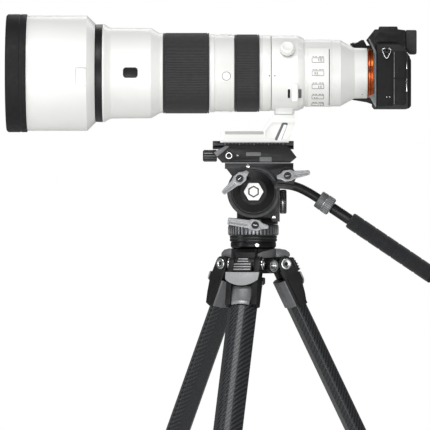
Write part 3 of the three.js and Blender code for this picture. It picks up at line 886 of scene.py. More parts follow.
@dataclass(frozen=True)
class LensBarrel:
    """The fixed barrels, the front glass, the function buttons and the printed marks."""

    flange: float = -174.7
    step: float = -118.6
    neck: float = -108.0
    zoom_start: float = -104.4
    zoom_end: float = -50.9
    mid_end: float = 20.1
    focus_start: float = -22.0
    focus_end: float = 6.7
    button: tuple[float, float] = (-31.4, -4.0)

    def build(self) -> None:
        """Builds the barrel's pieces from front to back."""
        self.front()
        self.glass()
        self.middle()
        self.rear()

    def front(self) -> None:
        """Builds the hood bayonet, the front barrel and its plain badge."""
        bayonet = turned("hood_bayonet", Axis.X, [
            (-196, 49.8), (-196, 52.4), (-195.2, 53), (-190, 53), (-189.6, 52.2), (-187.6, 52.2),
            (-187.2, 53),
            (-183, 53), (-182.8, 56.5), (self.flange - 0.2, 56.8), (self.flange - 0.2, 50)], 128)
        dress(soften(bayonet, 0.3), BLACK_CAST, "lens", "black_metal", "front_barrel")
        barrel = turned("front_shell", Axis.X, [
            (self.flange, 50), (self.flange, 56.9), (self.flange + 2, 56.85), (self.flange + 6, 54.2),
            (self.flange + 10, 52.6), (self.step, 52.2), (self.neck, 46.1), (self.zoom_start - 0.3, 46.1),
            (self.zoom_start - 0.3, 42.5), (self.zoom_end, 42.5), (self.zoom_end, 38.5),
            (self.neck - 4, 38.5),
            (self.step, 48)], 128)
        dress(soften(barrel, 0.6, 3, 14), WHITE_LACQUER, "lens", "white_shell", "front_barrel")
        badge = wrapped("badge_plate", rounded((-150.5, -133.5), (-6.2, 5.8), 3.4), 51.9, 52.75)
        dress(soften(badge, 0.25), BLACK_PLASTIC, "lens", "body_plastic")

    def glass(self) -> None:
        """Builds the front element and its retaining ring."""
        dome = [(-190 + r * r / 396, float(r)) for r in range(0, 46, 5)]
        glass = turned("front_glass", Axis.X, [*dome, (-184, 47.6), (-178, 47.6), (-178, 0)], 128)
        dress(glass, COATED_GLASS, "lens", "glass", "front_element")
        keeper = turned("glass_keeper", Axis.X, [
            (-194.5, 49.7), (-194.5, 48.9), (-191.5, 48.9), (-191.2, 48.3), (-189, 48.3), (-188.7, 47.8),
            (-184.6, 47.8), (-184.6, 49.7)], 128)
        dress(keeper, BLACK_ANODISED, "lens", "black_metal")

    def middle(self) -> None:
        """Builds the middle barrel and its three focus-hold buttons."""
        barrel = turned("mid_shell", Axis.X, [
            (-50.6, 38), (-50.6, 45.25), (-45, 45.25), (-44.6, 44.35), (self.focus_start - 0.4, 44.35),
            (self.focus_start - 0.4, 41.5), (self.focus_end + 0.4, 41.5), (self.focus_end + 0.4, 43.8),
            (self.mid_end, 43.8), (self.mid_end, 38)], 128)
        dress(soften(barrel, 0.35, 2), WHITE_LACQUER, "lens", "white_shell", "mid_barrel")
        x, z = self.button
        rise = math.degrees(math.asin(z / 44.35))
        seat = ring("button_seat", 5.2, 6.6, -1.4, 0.55, 0.25)
        moat = disc("button_moat", 5.3, -1.2, 0.1, 0.05)
        cap = disc("button_cap", 4.7, -1.0, 0.75, 0.45)
        shapes = ((seat, WHITE_MOULDING), (moat, SHADOW_GAP), (cap, WHITE_MOULDING))
        for shape, finish in shapes:
            spots = [about_lens(rise + turn) @ near(x, -44.35, 0) for turn in (0, 90, -90)]
            for number, twin in enumerate(copies(shape, spots)):
                twin.name = f"{shape_name(finish, number)}"
                dress(twin, finish, "lens", "white_shell", place=HERE)

    def rear(self) -> None:
        """Builds the rear barrel, the orange mount and the printed marks."""
        barrel = turned("rear_shell", Axis.X, [
            (20.5, 34), (20.5, 38.5), (60.0, 38.5), (60.2, 38.9), (90.2, 38.9), (90.4, 38.5), (100.9, 38.5),
            (101.3, 38.0), (116.9, 29.4), (131.6, 29.15), (132.1, 28.7), (132.1, 24.5), (114.9, 24.5),
            (98.9, 34)], 128)
        dress(soften(barrel, 0.5, 3, 14), WHITE_LACQUER, "lens", "white_shell", "rear_barrel")
        seam = ring("barrel_seam", 38.2, 43.1, 20.14, 20.46, 0.02, FINE, Axis.X)
        dress(seam, SHADOW_GAP, "lens", "black_paint")
        mount = turned("mount_ring", Axis.X, [
            (132.4, 22), (132.4, 27.7), (133.1, 28.5), (135.4, 28.5), (135.6, 28.1), (136.2, 28.1),
            (136.4, 28.5),
            (138.7, 28.5), (139.2, 28), (139.2, 22)], FINE)
        dress(soften(mount, 0.2), ORANGE_ANODISED, "lens", "copper_ring", "lens_mount")
        for number, (x, wide) in enumerate(((8.3, 0.5), (10.0, 0.25))):
            line = ring(f"scale_line_{number}", 43.4, 43.86, x, x + wide, 0.02, 128, Axis.X)
            dress(line, PALE_INK, "lens", "black_paint")
        for number, (x, r) in enumerate(((18.2, 43.8), (126.0, 29.15))):
            z = -3.7 if number == 0 else -24.8
            dot = disc(f"index_dot_{number}", 0.75, -0.4, 0.12, 0.05, SMALL)
            rise = math.degrees(math.asin(z / r))
            dress(dot, MARK_INK, "lens", "black_paint", place=about_lens(rise) @ near(x, -r, 0))


def shape_name(finish: Finish, number: int) -> str:
    """Names one of the function buttons' repeated parts after its finish."""
    part = "button_moat" if finish is SHADOW_GAP else "button_part"
    taken = sum(obj.name.startswith(f"{part}_{number}") for obj in bpy.data.objects)
    return f"{part}_{number}_{taken}"


@dataclass(frozen=True)
class SwitchPanel:
    """The raised panel with five slide switches one above another round the barrel."""

    x: tuple[float, float] = (62.5, 87.2)
    low: float = 39.2
    high: float = 41.3
    angles: tuple[float, ...] = (20.4, -1.0, -22.6, -42.8, -61.8)

    def build(self) -> None:
        """Builds the panel, its gap line and its switches."""
        x0, x1 = self.x
        panel = sector("switch_plate", [
            (x0, self.low - 1), (x0, self.high - 0.6), (x0 + 0.6, self.high), (x1 - 0.6, self.high),
            (x1, self.high - 0.6), (x1, self.low - 1)], 44.6, -71.6, 56)
        dress(soften(panel, 0.5), WHITE_MOULDING, "lens", "white_shell", "switch_panel")
        gap = sector("switch_plate_gap", [
            (x0 + 0.6, 38.2), (x0 + 0.6, 39.05), (x1 + 0.7, 39.05), (x1 + 0.7, 38.2)], 45.0, -72.0, 56)
        dress(gap, SHADOW_GAP, "lens", "black_paint")
        for number, angle in enumerate(self.angles):
            self.switch(number, angle)

    def switch(self, number: int, angle: float) -> None:
        """Builds one slide switch: a thin outline, a white knob with two bars and label dashes above it."""
        place = about_lens(angle) @ near(74.2, -self.high, 0)
        outline = pulled(f"switch_outline_{number}", Axis.Z, rounded((-7, 7), (-3, 3), 0.9), -0.5, 0.16)
        cut(outline, pulled("well", Axis.Z, rounded((-6.6, 6.6), (-2.6, 2.6), 0.6), -1, 1))
        dress(outline, MARK_INK, "lens", "black_paint", place=place)
        slide = -2.2 if number % 2 else 2.2
        knob = slab(f"switch_knob_{number}", rounded((slide - 2.5, slide + 2.5), (-1.7, 1.7), 0.6), -0.3,
                    1.1, 0.3)
        dress(knob, WHITE_MOULDING, "lens", "white_shell", place=place)
        bars = [slab("bar", rounded((slide + s - 0.4, slide + s + 0.4), (-1.3, 1.3), 0.2), 0.9, 1.25, 0.05)
                for s in (-1.2, 1.2)]
        dress(merge(f"switch_bars_{number}", bars), MARK_INK, "lens", "black_paint", place=place)
        dashes = [slab("dash", rounded((u, u + 2.2), (4.0, 4.5), 0.15, 2), -0.4, 0.06, 0.02)
                  for u in (-6.2, -3.2, 1.4, 4.4)]
        dress(merge(f"switch_label_{number}", dashes), MARK_INK, "lens", "black_paint", place=place)


@dataclass(frozen=True)
class TripodCollar:
    """The collar round the rear barrel with its lock knob and strap lug, and the lens's foot."""

    start: float = 20.7
    edge: float = 51.3
    end: float = 58.2
    outer: float = 43.5
    bore: float = 39.1
    knob_x: float = 39.0
    knob_rise: float = 35.0

    def build(self) -> None:
        """Builds the collar and the foot."""
        self.band()
        self.lock_knob()
        self.foot()

    def band(self) -> None:
        """Builds the clamping band, its neck, the knob's boss and the strap lug."""
        band = turned("collar_band", Axis.X, [
            (self.start, self.bore), (self.start, self.outer), (self.edge, self.outer),
            (self.edge + 0.5, 43.2),
            (self.end, self.bore + 1.4), (self.end, self.bore)], 128)
        soften(band, 0.7, 3)
        neck = slab("neck", rounded((24.5, 47.5), (-14.5, 14.5), 4), -47.9, -39.6, 0.8)
        boss = disc("boss", 6.4, -44.3, -38, 0.4, axis=Axis.Y, at=(self.knob_x, 0, 0))
        boss.data.transform(Matrix.Rotation(-math.radians(self.knob_rise), 4, "X"))
        lug = slab("lug", rounded((43.8, 51.4), (-33.6, -12.6), 2.6), -45.0, -33, 1.1, Axis.Y)
        collar = merge("collar_band", [band, neck, boss, lug])
        dress(collar, WHITE_LACQUER, "foot_plate", "white_shell", "tripod_collar")
        # Painted shade: a sheet in each recess beside the strap lug stands in for the shade in it, black in
        # the one nearer the lens's front and mid-grey in the other.
        for number, (span, top) in enumerate((((39.4, 42.2), -19.1), ((51.2, 55.2), -19.1))):
            recess = wrapped(f"lug_recess_{number}", rounded(span, (-29.3, top), 1.1), 40, 43.62)
            dress(recess, FOOT_SHADE if number else SHADOW_GAP, "foot_plate", "black_paint")
        split = slab("collar_split", rounded((self.start + 1, self.edge), (-0.5, 0.5), 0.3), 0, 0.15, 0.02)
        dress(split, SHADOW_GAP, "foot_plate", "black_paint",
              place=facing((0, 0, self.outer - 0.1), (0, 0, 1)))
        dot = disc("collar_dot", 0.75, -0.4, 0.12, 0.05, SMALL)
        rise = math.degrees(math.asin(-3.7 / self.outer))
        dress(dot, MARK_INK, "foot_plate", "black_paint", place=about_lens(rise) @ near(24.5, -self.outer, 0))

    def lock_knob(self) -> None:
        """Builds the ribbed white knob that clamps the collar."""
        knob = Knob(8.5, 8.6, 30, rib=0.45, crown=1.4, dish=0.8).shape("collar_lock_knob")
        place = about_lens(self.knob_rise) @ near(self.knob_x, -44.5, 0)
        dress(knob, WHITE_MOULDING, "collar_screw", "white_shell", "collar_knob", place=place)
        gap = ring("collar_knob_gap", 6.2, 8.0, -0.5, -0.1, 0.05, FINE)
        dress(gap, SHADOW_GAP, "foot_plate", "black_paint", place=place)

    def foot(self) -> None:
        """Builds the lens's foot with its window, its grey inlay and a mid-grey frame of painted shade on the
        window's walls.
        """
        outline = filleted([
            (24.5, -48.2), (47.5, -48.2), (47.5, -59), (40.5, -80.2), (-35.5, -80.2), (-37.6, -77.5),
            (-37.6, -69.5), (-34.5, -66), (11.5, -66), (19, -52.5)], 2.4)
        foot = pulled("foot_casting", Axis.Y, outline, -16, 16)
        window = filleted([(33.4, -57.4), (40.4, -57.4), (32.6, -78), (24, -78)], 2.0)
        inlay = rounded((-33, 12), (-71.2, -67.4), 1.2)
        waist = filleted([(60, -57), (21.5, -57), (14, -66.6), (14, -76.5), (60, -76.5)], 4)
        cut(foot, pulled("window", Axis.Y, window, -30, 30), pulled("inlay", Axis.Y, inlay, -20, -15.4),
            pulled("waist", Axis.Y, waist, -20, -13.6), pulled("waist_far", Axis.Y, waist, 13.6, 20))
        dress(soften(foot, 0.6, 3), WHITE_LACQUER, "foot_plate", "white_shell", "lens_foot")
        strip = slab("foot_inlay", rounded((-32.8, 11.8), (-71, -67.6), 1.1), -15.7, -15.35, 0.05, Axis.Y)
        dress(strip, PALE_INK, "foot_plate", "grey_metal")
        # Painted shade: a mid-grey frame on the window's walls, open in the middle, stands in for the shade
        # inside the window.
        window_shade = pulled("foot_window_liner", Axis.Y, window, -13.4, 13.4)
        opening = filleted([(35.4, -59.6), (39.4, -59.6), (32.0, -79), (27.0, -79)], 1.4)
        cut(window_shade, pulled("opening", Axis.Y, opening, -30, 30))
        dress(soften(window_shade, 0.3), FOOT_SHADE, "foot_plate", "grey_metal")


# --------------------------------------------------------------------------------------- camera
@dataclass(frozen=True)
class CameraBody:
    """The camera: magnesium shell, grip skin, finder, shoe, dials, doors, screen and strap ring."""

    front: float = 139.6
    back: float = 181.4
    near: float = -49.0
    far: float = 78.0
    bottom: float = -41.2
    deck: float = 32.0

    def build(self) -> None:
        """Builds the camera."""
        self.shell()
        self.near_side()
        self.finder()
        self.top_controls()
        self.back_controls()
        self.screen()

    def shell(self) -> None:
        """Builds the shell, the mount's face plate and the grip's skin."""
        dress(refined("camera_body", 0.9, 2, 20), CRINKLE_PAINT, "lens", "black_paint", "camera_body",
              place=HERE)
        plate = turned("mount_plate", Axis.X, [
            (138.4, 28.9), (138.4, 31.2), (139.0, 31.8), (139.9, 31.8), (139.9, 28.9)], FINE)
        dress(soften(plate, 0.15), GREY_CAST, "lens", "grey_metal")
        skin = slab("grip_skin", filleted([(46, -24.5), (69, -24.5), (69, 27), (46, 28.5)], 4), 111.0,
                    111.9, 0.3,
                    Axis.X)
        dress(skin, BODY_SKIN, "lens", "rubber")
        band = slab("far_skin", rounded((141.5, 176.5), (-36, 24), 4), 77.6, 78.5, 0.3, Axis.Y)
        dress(band, BODY_SKIN, "lens", "rubber")

    def near_side(self) -> None:
        """Builds the near side: a grey strip along the front edge as its painted highlight, skin, terminal
        door, its hinge line and the strap ring.
        """
        # Painted highlight: a grey strip round the body's front edge and finder slope stands in for the light
        # on that rounded edge.
        edge = [(140.1, -40.2), (133.8, -28.2), (133.4, -26.8), (139.2, -24.4), (139.2, 22), (136.2, 29.5),
                (132.2, 38.8), (133.4, 39.2), (140.7, 25.4), (141.2, 24), (141.2, -39)]
        strip = slab("front_edge_strip", filleted(edge, 0.6, 2), self.near - 0.35, self.near + 3, 0.2, Axis.Y)
        dress(strip, GREY_CAST, "lens", "grey_metal")
        skin = slab("near_skin", rounded((142.4, 161.2), (-38.5, 22.5), 2.0), self.near - 0.7,
                    self.near + 1, 0.3,
                    Axis.Y)
        dress(skin, BODY_SKIN, "lens", "rubber")
        door = slab("door_panel", rounded((162.3, 175.3), (-37, 24), 2.2), self.near - 2, self.near - 0.3,
                    0.6,
                    Axis.Y)
        cut(door, pulled("line", Axis.Y, rounded((162, 176), (-6.9, -6.3), 0.25, 2), -52, self.near - 1.5))
        dress(door, BODY_SKIN, "port_cover", "rubber", "terminal_door")
        for number, (low, high) in enumerate(((-36.5, -7.4), (-5.8, 23.5))):
            bead = slab(f"door_bead_{number}", rounded((161.5, 162.1), (low, high), 0.28, 2), self.near - 0.9,
                        self.near + 0.5, 0.1, Axis.Y)
            dress(bead, GREY_CAST, "lens", "grey_metal")
        for number, (low, high) in enumerate(((4.0, 12.0), (-22.0, -7.0))):
            tab = slab(f"door_tab_{number}", rounded((175.7, 176.8), (low, high), 0.5, 2), self.near - 0.8,
                       self.near + 0.5, 0.15, Axis.Y)
            dress(tab, BRIGHT_STEEL, "lens", "steel")
        self.strap_ring()
        for number, x in enumerate((153.0, 156.7)):
            dot = disc(f"side_rivet_{number}", 0.6, -0.3, 0.35, 0.1, SMALL)
            dress(dot, BRIGHT_STEEL, "lens", "steel", place=near(x, self.near - 0.7, -28))

    def strap_ring(self) -> None:
        """Builds the strap eyelet and the rounded steel triangle that hangs in it."""
        corners = filleted([(147.2, 27.6), (159.0, 27.6), (153.1, 13.6)], 2.6, 5)
        bpy.ops.curve.primitive_bezier_curve_add(location=(0, 0, 0))
        wire = bpy.context.object
        wire.data.splines.clear()
        spline = wire.data.splines.new("POLY")
        spline.points.add(len(corners) - 1)
        for point, (x, z) in zip(spline.points, corners):
            point.co = (x * MM, (self.near - 2.0) * MM, z * MM, 1)
        spline.use_cyclic_u = True
        wire.data.dimensions = "3D"
        wire.data.bevel_depth = 0.85 * MM
        wire.data.bevel_resolution = 4
        bpy.ops.object.convert(target="MESH")
        triangle = bpy.context.object
        triangle.name = triangle.data.name = "strap_triangle"
        dress(triangle, BRIGHT_STEEL, "lens", "steel")
        eye = ring("strap_eye", 1.3, 3.0, -0.4, 2.9, 0.4, SMALL)
        dress(eye, BLACK_ANODISED, "lens", "black_metal", place=near(153.1, self.near - 0.4, 25.6))

    def finder(self) -> None:
        """Builds the accessory shoe, the finder's side plates, the eyecup and its window."""
        rails = []
        for side in (-1, 1):
            rails.append(block("rail", (147, 166), tuple(sorted((side * 9.2, side * 10.4))), (50.4, 53.4)))
            rails.append(block("lip", (147, 166), tuple(sorted((side * 6.6, side * 10.4))), (52.6, 54.0)))
        shoe = merge("shoe_rails", [soften(rail, 0.2) for rail in rails])
        dress(shoe, BLACK_ANODISED, "lens", "black_metal")
        spring = slab("shoe_spring", rounded((148, 165.5), (-6.2, 6.2), 1.2), 53.7, 54.1, 0.1)
        dress(spring, BLACK_ANODISED, "lens", "black_metal")
        cup = pulled("eyecup_cushion", Axis.X, rounded((-20, 20), (21.8, 49.8), 5, 6), 176.2, 188.8)
        corner = pulled("corner", Axis.Y, [(168, 34), (175.3, 29.8), (182.1, 20.6), (182.1, 8), (168, 8)],
                        -26, 26)
        hole = pulled("hole", Axis.X, rounded((-12.5, 12.5), (28.5, 43.5), 3, 5), 180.5, 192)
        cut(cup, corner, hole)
        dress(soften(cup, 1.4, 3), GRIP_RUBBER, "lens", "rubber", "eyecup")
        pane = slab("finder_window", rounded((-12.6, 12.6), (28.4, 43.6), 3, 5), 180.4, 181.4, 0.2, Axis.X)
        dress(pane, SCREEN_GLASS, "lens", "glass")
        neck = slab("finder_neck", [
            (168.5, 31), (168.5, 40), (176.6, 40), (176.6, 28.2), (174.4, 27.4)], -18, 18, 0.5, Axis.Y)
        dress(neck, BLACK_PLASTIC, "lens", "body_plastic")
        for side, name in ((-1, "near"), (1, "far")):
            span = sorted((side * 22, side * 22.5))
            cheek = slab(f"finder_cheek_{name}", filleted([
                (143, 34.5), (139, 38.5), (145, 47.6), (171.5, 47.2), (172.5, 34.5)], 1.5), span[0],
                span[1], 0.15,
                Axis.Y)
            dress(cheek, BLACK_CAST, "lens", "black_metal")
        dioptre = Knob(3.6, 2.6, 18, rib=0.2, crown=0.4, dish=0.2).shape("dioptre_wheel")
        dress(dioptre, BLACK_ANODISED, "lens", "black_metal", place=facing((171, 21.6, 40), (0, 1, 0)))

    def top_controls(self) -> None:
        """Builds the mode and exposure dials, the shutter button with its collar and two function keys."""
        mode = Knob(9.5, 6.2, 44, rib=0.25, crown=0.7, dish=0.25).shape("mode_dial_cap")
        dress(mode, BLACK_ANODISED, "mode", "black_metal", "mode_dial",
              place=facing((158, 62, 32.3), (0, 0, 1)))
        lock = disc("mode_lock_pin", 2.2, 5.4, 6.8, 0.4, SMALL)
        dress(lock, BLACK_PLASTIC, "mode", "black_metal", place=facing((158, 62, 32.3), (0, 0, 1)))
        exposure = Knob(8.0, 4.6, 40, rib=0.25, crown=0.6, dish=0.2).shape("exposure_dial")
        dress(exposure, BLACK_ANODISED, "lens", "black_metal", place=facing((171.5, 66, 30.5), (0, 0, 1)))
        button = turned("shutter_cap", Axis.Z, [
            (33, 0), (33, 4.3), (36.2, 4.3), (36.9, 3.7), (36.7, 2.2), (36.6, 0)], MEDIUM, (120, 58, 0))
        dress(soften(button, 0.2), BRIGHT_STEEL, "shutter", "black_metal", "shutter_button")
        collar = ring("power_collar", 4.8, 6.2, 33.2, 36.0, 0.5, MEDIUM, at=(120, 58, 0))
        dress(collar, BLACK_ANODISED, "lens", "black_metal")
        for number, (x, y) in enumerate(((136, 52), (136, 64))):
            key = disc(f"function_key_{number}", 2.9, 31.6, 33.3, 0.5, at=(x, y, 0))
            dress(key, BLACK_PLASTIC, "lens", "body_plastic")

    def back_controls(self) -> None:
        """Builds the thumb rest, the joystick, the control wheel and the keys on the back."""
        rest = slab("thumb_rest", filleted([(40, 17), (74, 12), (75, 29), (62, 30.5), (40, 26)], 4), 176.5,
                    179.6,
                    0.9, Axis.X)
        dress(rest, BODY_SKIN, "lens", "rubber")
        wheel = Knob(10.2, 2.6, 46, rib=0.2, crown=0.5, dish=0.8).shape("control_wheel")
        dress(wheel, BLACK_ANODISED, "lens", "black_metal", place=facing((180.6, 57.5, -12), (1, 0, 0)))
        centre = disc("wheel_centre", 3.6, -0.5, 2.9, 0.5)
        dress(centre, BLACK_PLASTIC, "lens", "body_plastic", place=facing((180.6, 57.5, -12), (1, 0, 0)))
        stick = turned("joystick", Axis.Z, [(0, 0), (0, 2.2), (1.6, 2.0), (2.6, 3.1), (3.4, 2.7), (3.6, 0)],
                       SMALL)
        dress(soften(stick, 0.3), GRIP_RUBBER, "lens", "rubber", place=facing((180.2, 47.0, 8.0), (1, 0, 0)))
        for number, (y, z, r) in enumerate(((58.5, 6.5, 2.6), (70.5, 4.0, 2.6), (70.5, -22.5, 2.4),
                                            (46.5, -28.5, 2.6),
                                            (59.5, -31.0, 2.6), (-38.5, 17.0, 2.2), (-30.5, 17.0, 2.2))):
            x = 180.7 if z < 14 else 178.6
            key = disc(f"back_key_{number}", r, -0.6, 1.6, 0.45, SMALL)
            dress(key, BLACK_PLASTIC, "lens", "body_plastic", place=facing((x, y, z), (1, 0, 0)))

    def screen(self) -> None:
        """Builds the tilting screen: a bevelled tray with glass set in it."""
        tray = slab("screen_tray", rounded((-44, 33), (-36.5, 12), 2.4), 177.6, 181.5, 0.6, Axis.X)
        cut(tray, pulled("well", Axis.X, rounded((-40.5, 29.5), (-32.8, 9.0), 1.5), 181.0, 184))
        dress(tray, BLACK_PLASTIC, "screen", "black_paint", "rear_screen")
        glass = slab("screen_pane", rounded((-40.3, 29.3), (-32.6, 8.8), 1.4), 180.9, 181.25, 0.1, Axis.X)
        dress(glass, SCREEN_GLASS, "screen", "glass")


# -------------------------------------------------------------------------------- quick release
@dataclass(frozen=True)
class QuickRelease:
    """The dovetail plate and the clamp that holds it, with its knob, button, slide and label."""

    left: float = -47.2
    right: float = 46.6
    clamp_half: float = 28.0
    button: tuple[float, float] = (-28.5, -95.5)

    def build(self) -> None:
        """Builds the plate, then the clamp."""
        self.plate()
        self.clamp()
        self.fittings()

    def plate(self) -> None:
        """Builds the plate with its scale marks and end screws."""
        dress(refined("quick_release_plate", 0.5), BLACK_ANODISED, "foot_plate", "black_metal",
              "quick_release_plate", place=HERE)
        ticks = []
        for number in range(17):
            x = -33.0 + number * 4.2
            tall = 2.2 if number % 4 == 0 else 1.2
            ticks.append(slab("tick", rounded((x - 0.22, x + 0.22), (-81.2 - tall, -81.2), 0.15, 2),
                              -19.62, -19.3, 0.02, Axis.Y))
        dress(merge("plate_scale", ticks), PALE_INK, "foot_plate", "black_paint")
        for number, x in enumerate((-42.8, 43.9)):
            Screw(1.5, 0.7).fit(f"stop_screw_{number}", "foot_plate", near(x, -19.5, -81.2), BLACK_ANODISED)

    def clamp(self) -> None:
        """Builds the clamp's body and its ribbed knob."""
        dress(refined("quick_release_clamp", 0.8, 3), BLACK_CAST, "cradle", "black_metal",
              "quick_release_clamp",
              place=HERE)
        knob = Knob(6.9, 16.4, 14, rib=0.6, crown=0.9, dish=1.0).shape("clamp_hand_knob")
        dress(knob, BLACK_ANODISED, "clamp_screw", "black_metal", "clamp_knob",
              place=facing((-42.2, 0, -95.8), (-1, 0, 0)))

    def fittings(self) -> None:
        """Builds the release button in its bright ring, the lock slide, the label plate and an arrow mark."""
        x, z = self.button
        place = near(x, -self.clamp_half, z)
        bezel = ring("release_bezel", 4.3, 5.2, -0.6, 0.5, 0.2)
        dress(bezel, BLACK_ANODISED, "cradle", "black_metal", place=place)
        rim = ring("release_rim", 2.5, 4.05, -1.6, 2.1, 0.35)
        dress(rim, BRIGHT_STEEL, "plate_release", "steel", "release_button", place=place)
        core = disc("release_core", 2.45, -1.6, 1.4, 0.3)
        dress(core, BLACK_ANODISED, "plate_release", "black_metal", place=place)
        slide = slab("lock_slide", rounded((-8.7, 8.7), (-96.0, -91.8), 1.2), -self.clamp_half - 1.3,
                     -self.clamp_half + 0.6, 0.4, Axis.Y)
        ribs = [slab("rib", rounded((u, u + 0.8), (-95.2, -92.6), 0.3, 2), -self.clamp_half - 1.8,
                     -self.clamp_half - 1.1, 0.15, Axis.Y) for u in (-2.4, -0.4, 1.6)]
        dress(merge("lock_slide", [slide, *ribs]), GREY_CAST, "cradle", "grey_metal")
        label = slab("label_plate", rounded((7, 21), (-102.8, -97.2), 0.8), -self.clamp_half - 0.5,
                     -self.clamp_half + 0.4, 0.15, Axis.Y)
        dress(label, GREY_CAST, "cradle", "grey_metal")
        arrow = slab("turn_arrow", [(-19.4, -96.6), (-16.4, -95.5), (-19.4, -94.4)], -self.clamp_half - 0.12,
                     -self.clamp_half + 0.3, 0.02, Axis.Y)
        dress(arrow, PALE_INK, "cradle", "black_paint")
        # Painted highlight: a grey chevron on the clamp's near face stands in for the light on its bevelled
        # end.
        bevel_highlight = slab("clamp_bevel", filleted([
            (-31.8, -84.0), (-46.0, -92.0), (-42.2, -96.9), (-37.6, -93.6), (-27.8, -84.9)], 0.6, 2),
            -self.clamp_half - 0.45, -self.clamp_half + 1, 0.3, Axis.Y)
        dress(bevel_highlight, GREY_CAST, "cradle", "grey_metal")


# ------------------------------------------------------------------------------------ fluid head
@dataclass(frozen=True)
class WingLever:
    """A two-ended cast lever on a screw, flat towards the near side."""

    name: str
    body: str
    node: str
    pivot: tuple[float, float]
    face: float
    seat: float
    angle: float
    long: float = 26.0
    short: float = 12.5
    tip: float = 2.6
    thick: float = 5.0

    def build(self) -> None:
        """Builds the blade with its hub, stud and slotted screw, with a painted glint in the screw's slot."""
        place = at_datum() @ Matrix.Translation(Vector((self.pivot[0], 0, self.pivot[1])) * MM)
        place = place @ Matrix.Rotation(-math.radians(self.angle), 4, "Y")
        blade_outline = filleted([
            (self.long, -self.tip), (self.long, self.tip), (7.8, 4.7), (4.0, 6.4), (-4.0, 6.4), (-7.5, 3.6),
            (-self.short, 1.9), (-self.short, -1.9), (-7.5, -3.6), (-4.0, -6.4), (4.0, -6.4), (7.8, -4.7)],
            1.8)
        blade = pulled("blade", Axis.Y, blade_outline, self.face, self.face + self.thick)
        well = turned("well", Axis.Y, [
            (self.face - 1, 0), (self.face - 1, 4.3), (self.face + 1.4, 4.3), (self.face + 1.4, 0)], MEDIUM)
        hollow = pulled("hollow", Axis.Y, filleted([
            (self.long - 2, -1.3), (self.long - 2, 1.3), (8.5, 1.9), (8.5, -1.9)], 0.9), self.face - 1,
            self.face + 0.5)
        cut(blade, well, hollow)
        soften(blade, 0.7, 3)
        stud = disc("stud", 3.2, self.face + 2, self.seat, 0.2, axis=Axis.Y)
        lever = merge(self.name, [blade, stud])
        dress(lever, GREY_LEVER, self.body, "grey_metal", self.node, place=place)
        cup = ring(self.name + "_cup", 2.6, 4.25, self.face + 0.7, self.face + 1.6, 0.1, axis=Axis.Y)
        dress(cup, BLACK_ANODISED, self.body, "black_metal", place=place)
        onto_face = Matrix.Translation((0, (self.face + 1.3) * MM, 0))
        screw_place = place @ onto_face @ Matrix.Rotation(math.pi / 2, 4, "X")
        Screw(2.5, 1.4, Drive.SLOT).fit(self.name + "_screw", self.body, screw_place, BLACK_ANODISED)
        # Painted reflection: a bright steel strip on the floor of the screw's slot stands in for the glint
        # that the slot catches.
        glint = slab(self.name + "_slot", rounded((-2.2, 2.2), (-0.34, 0.34), 0.1, 2), 0.3, 0.75, 0.05)
        dress(glint, BRIGHT_STEEL, self.body, "steel", place=screw_place)


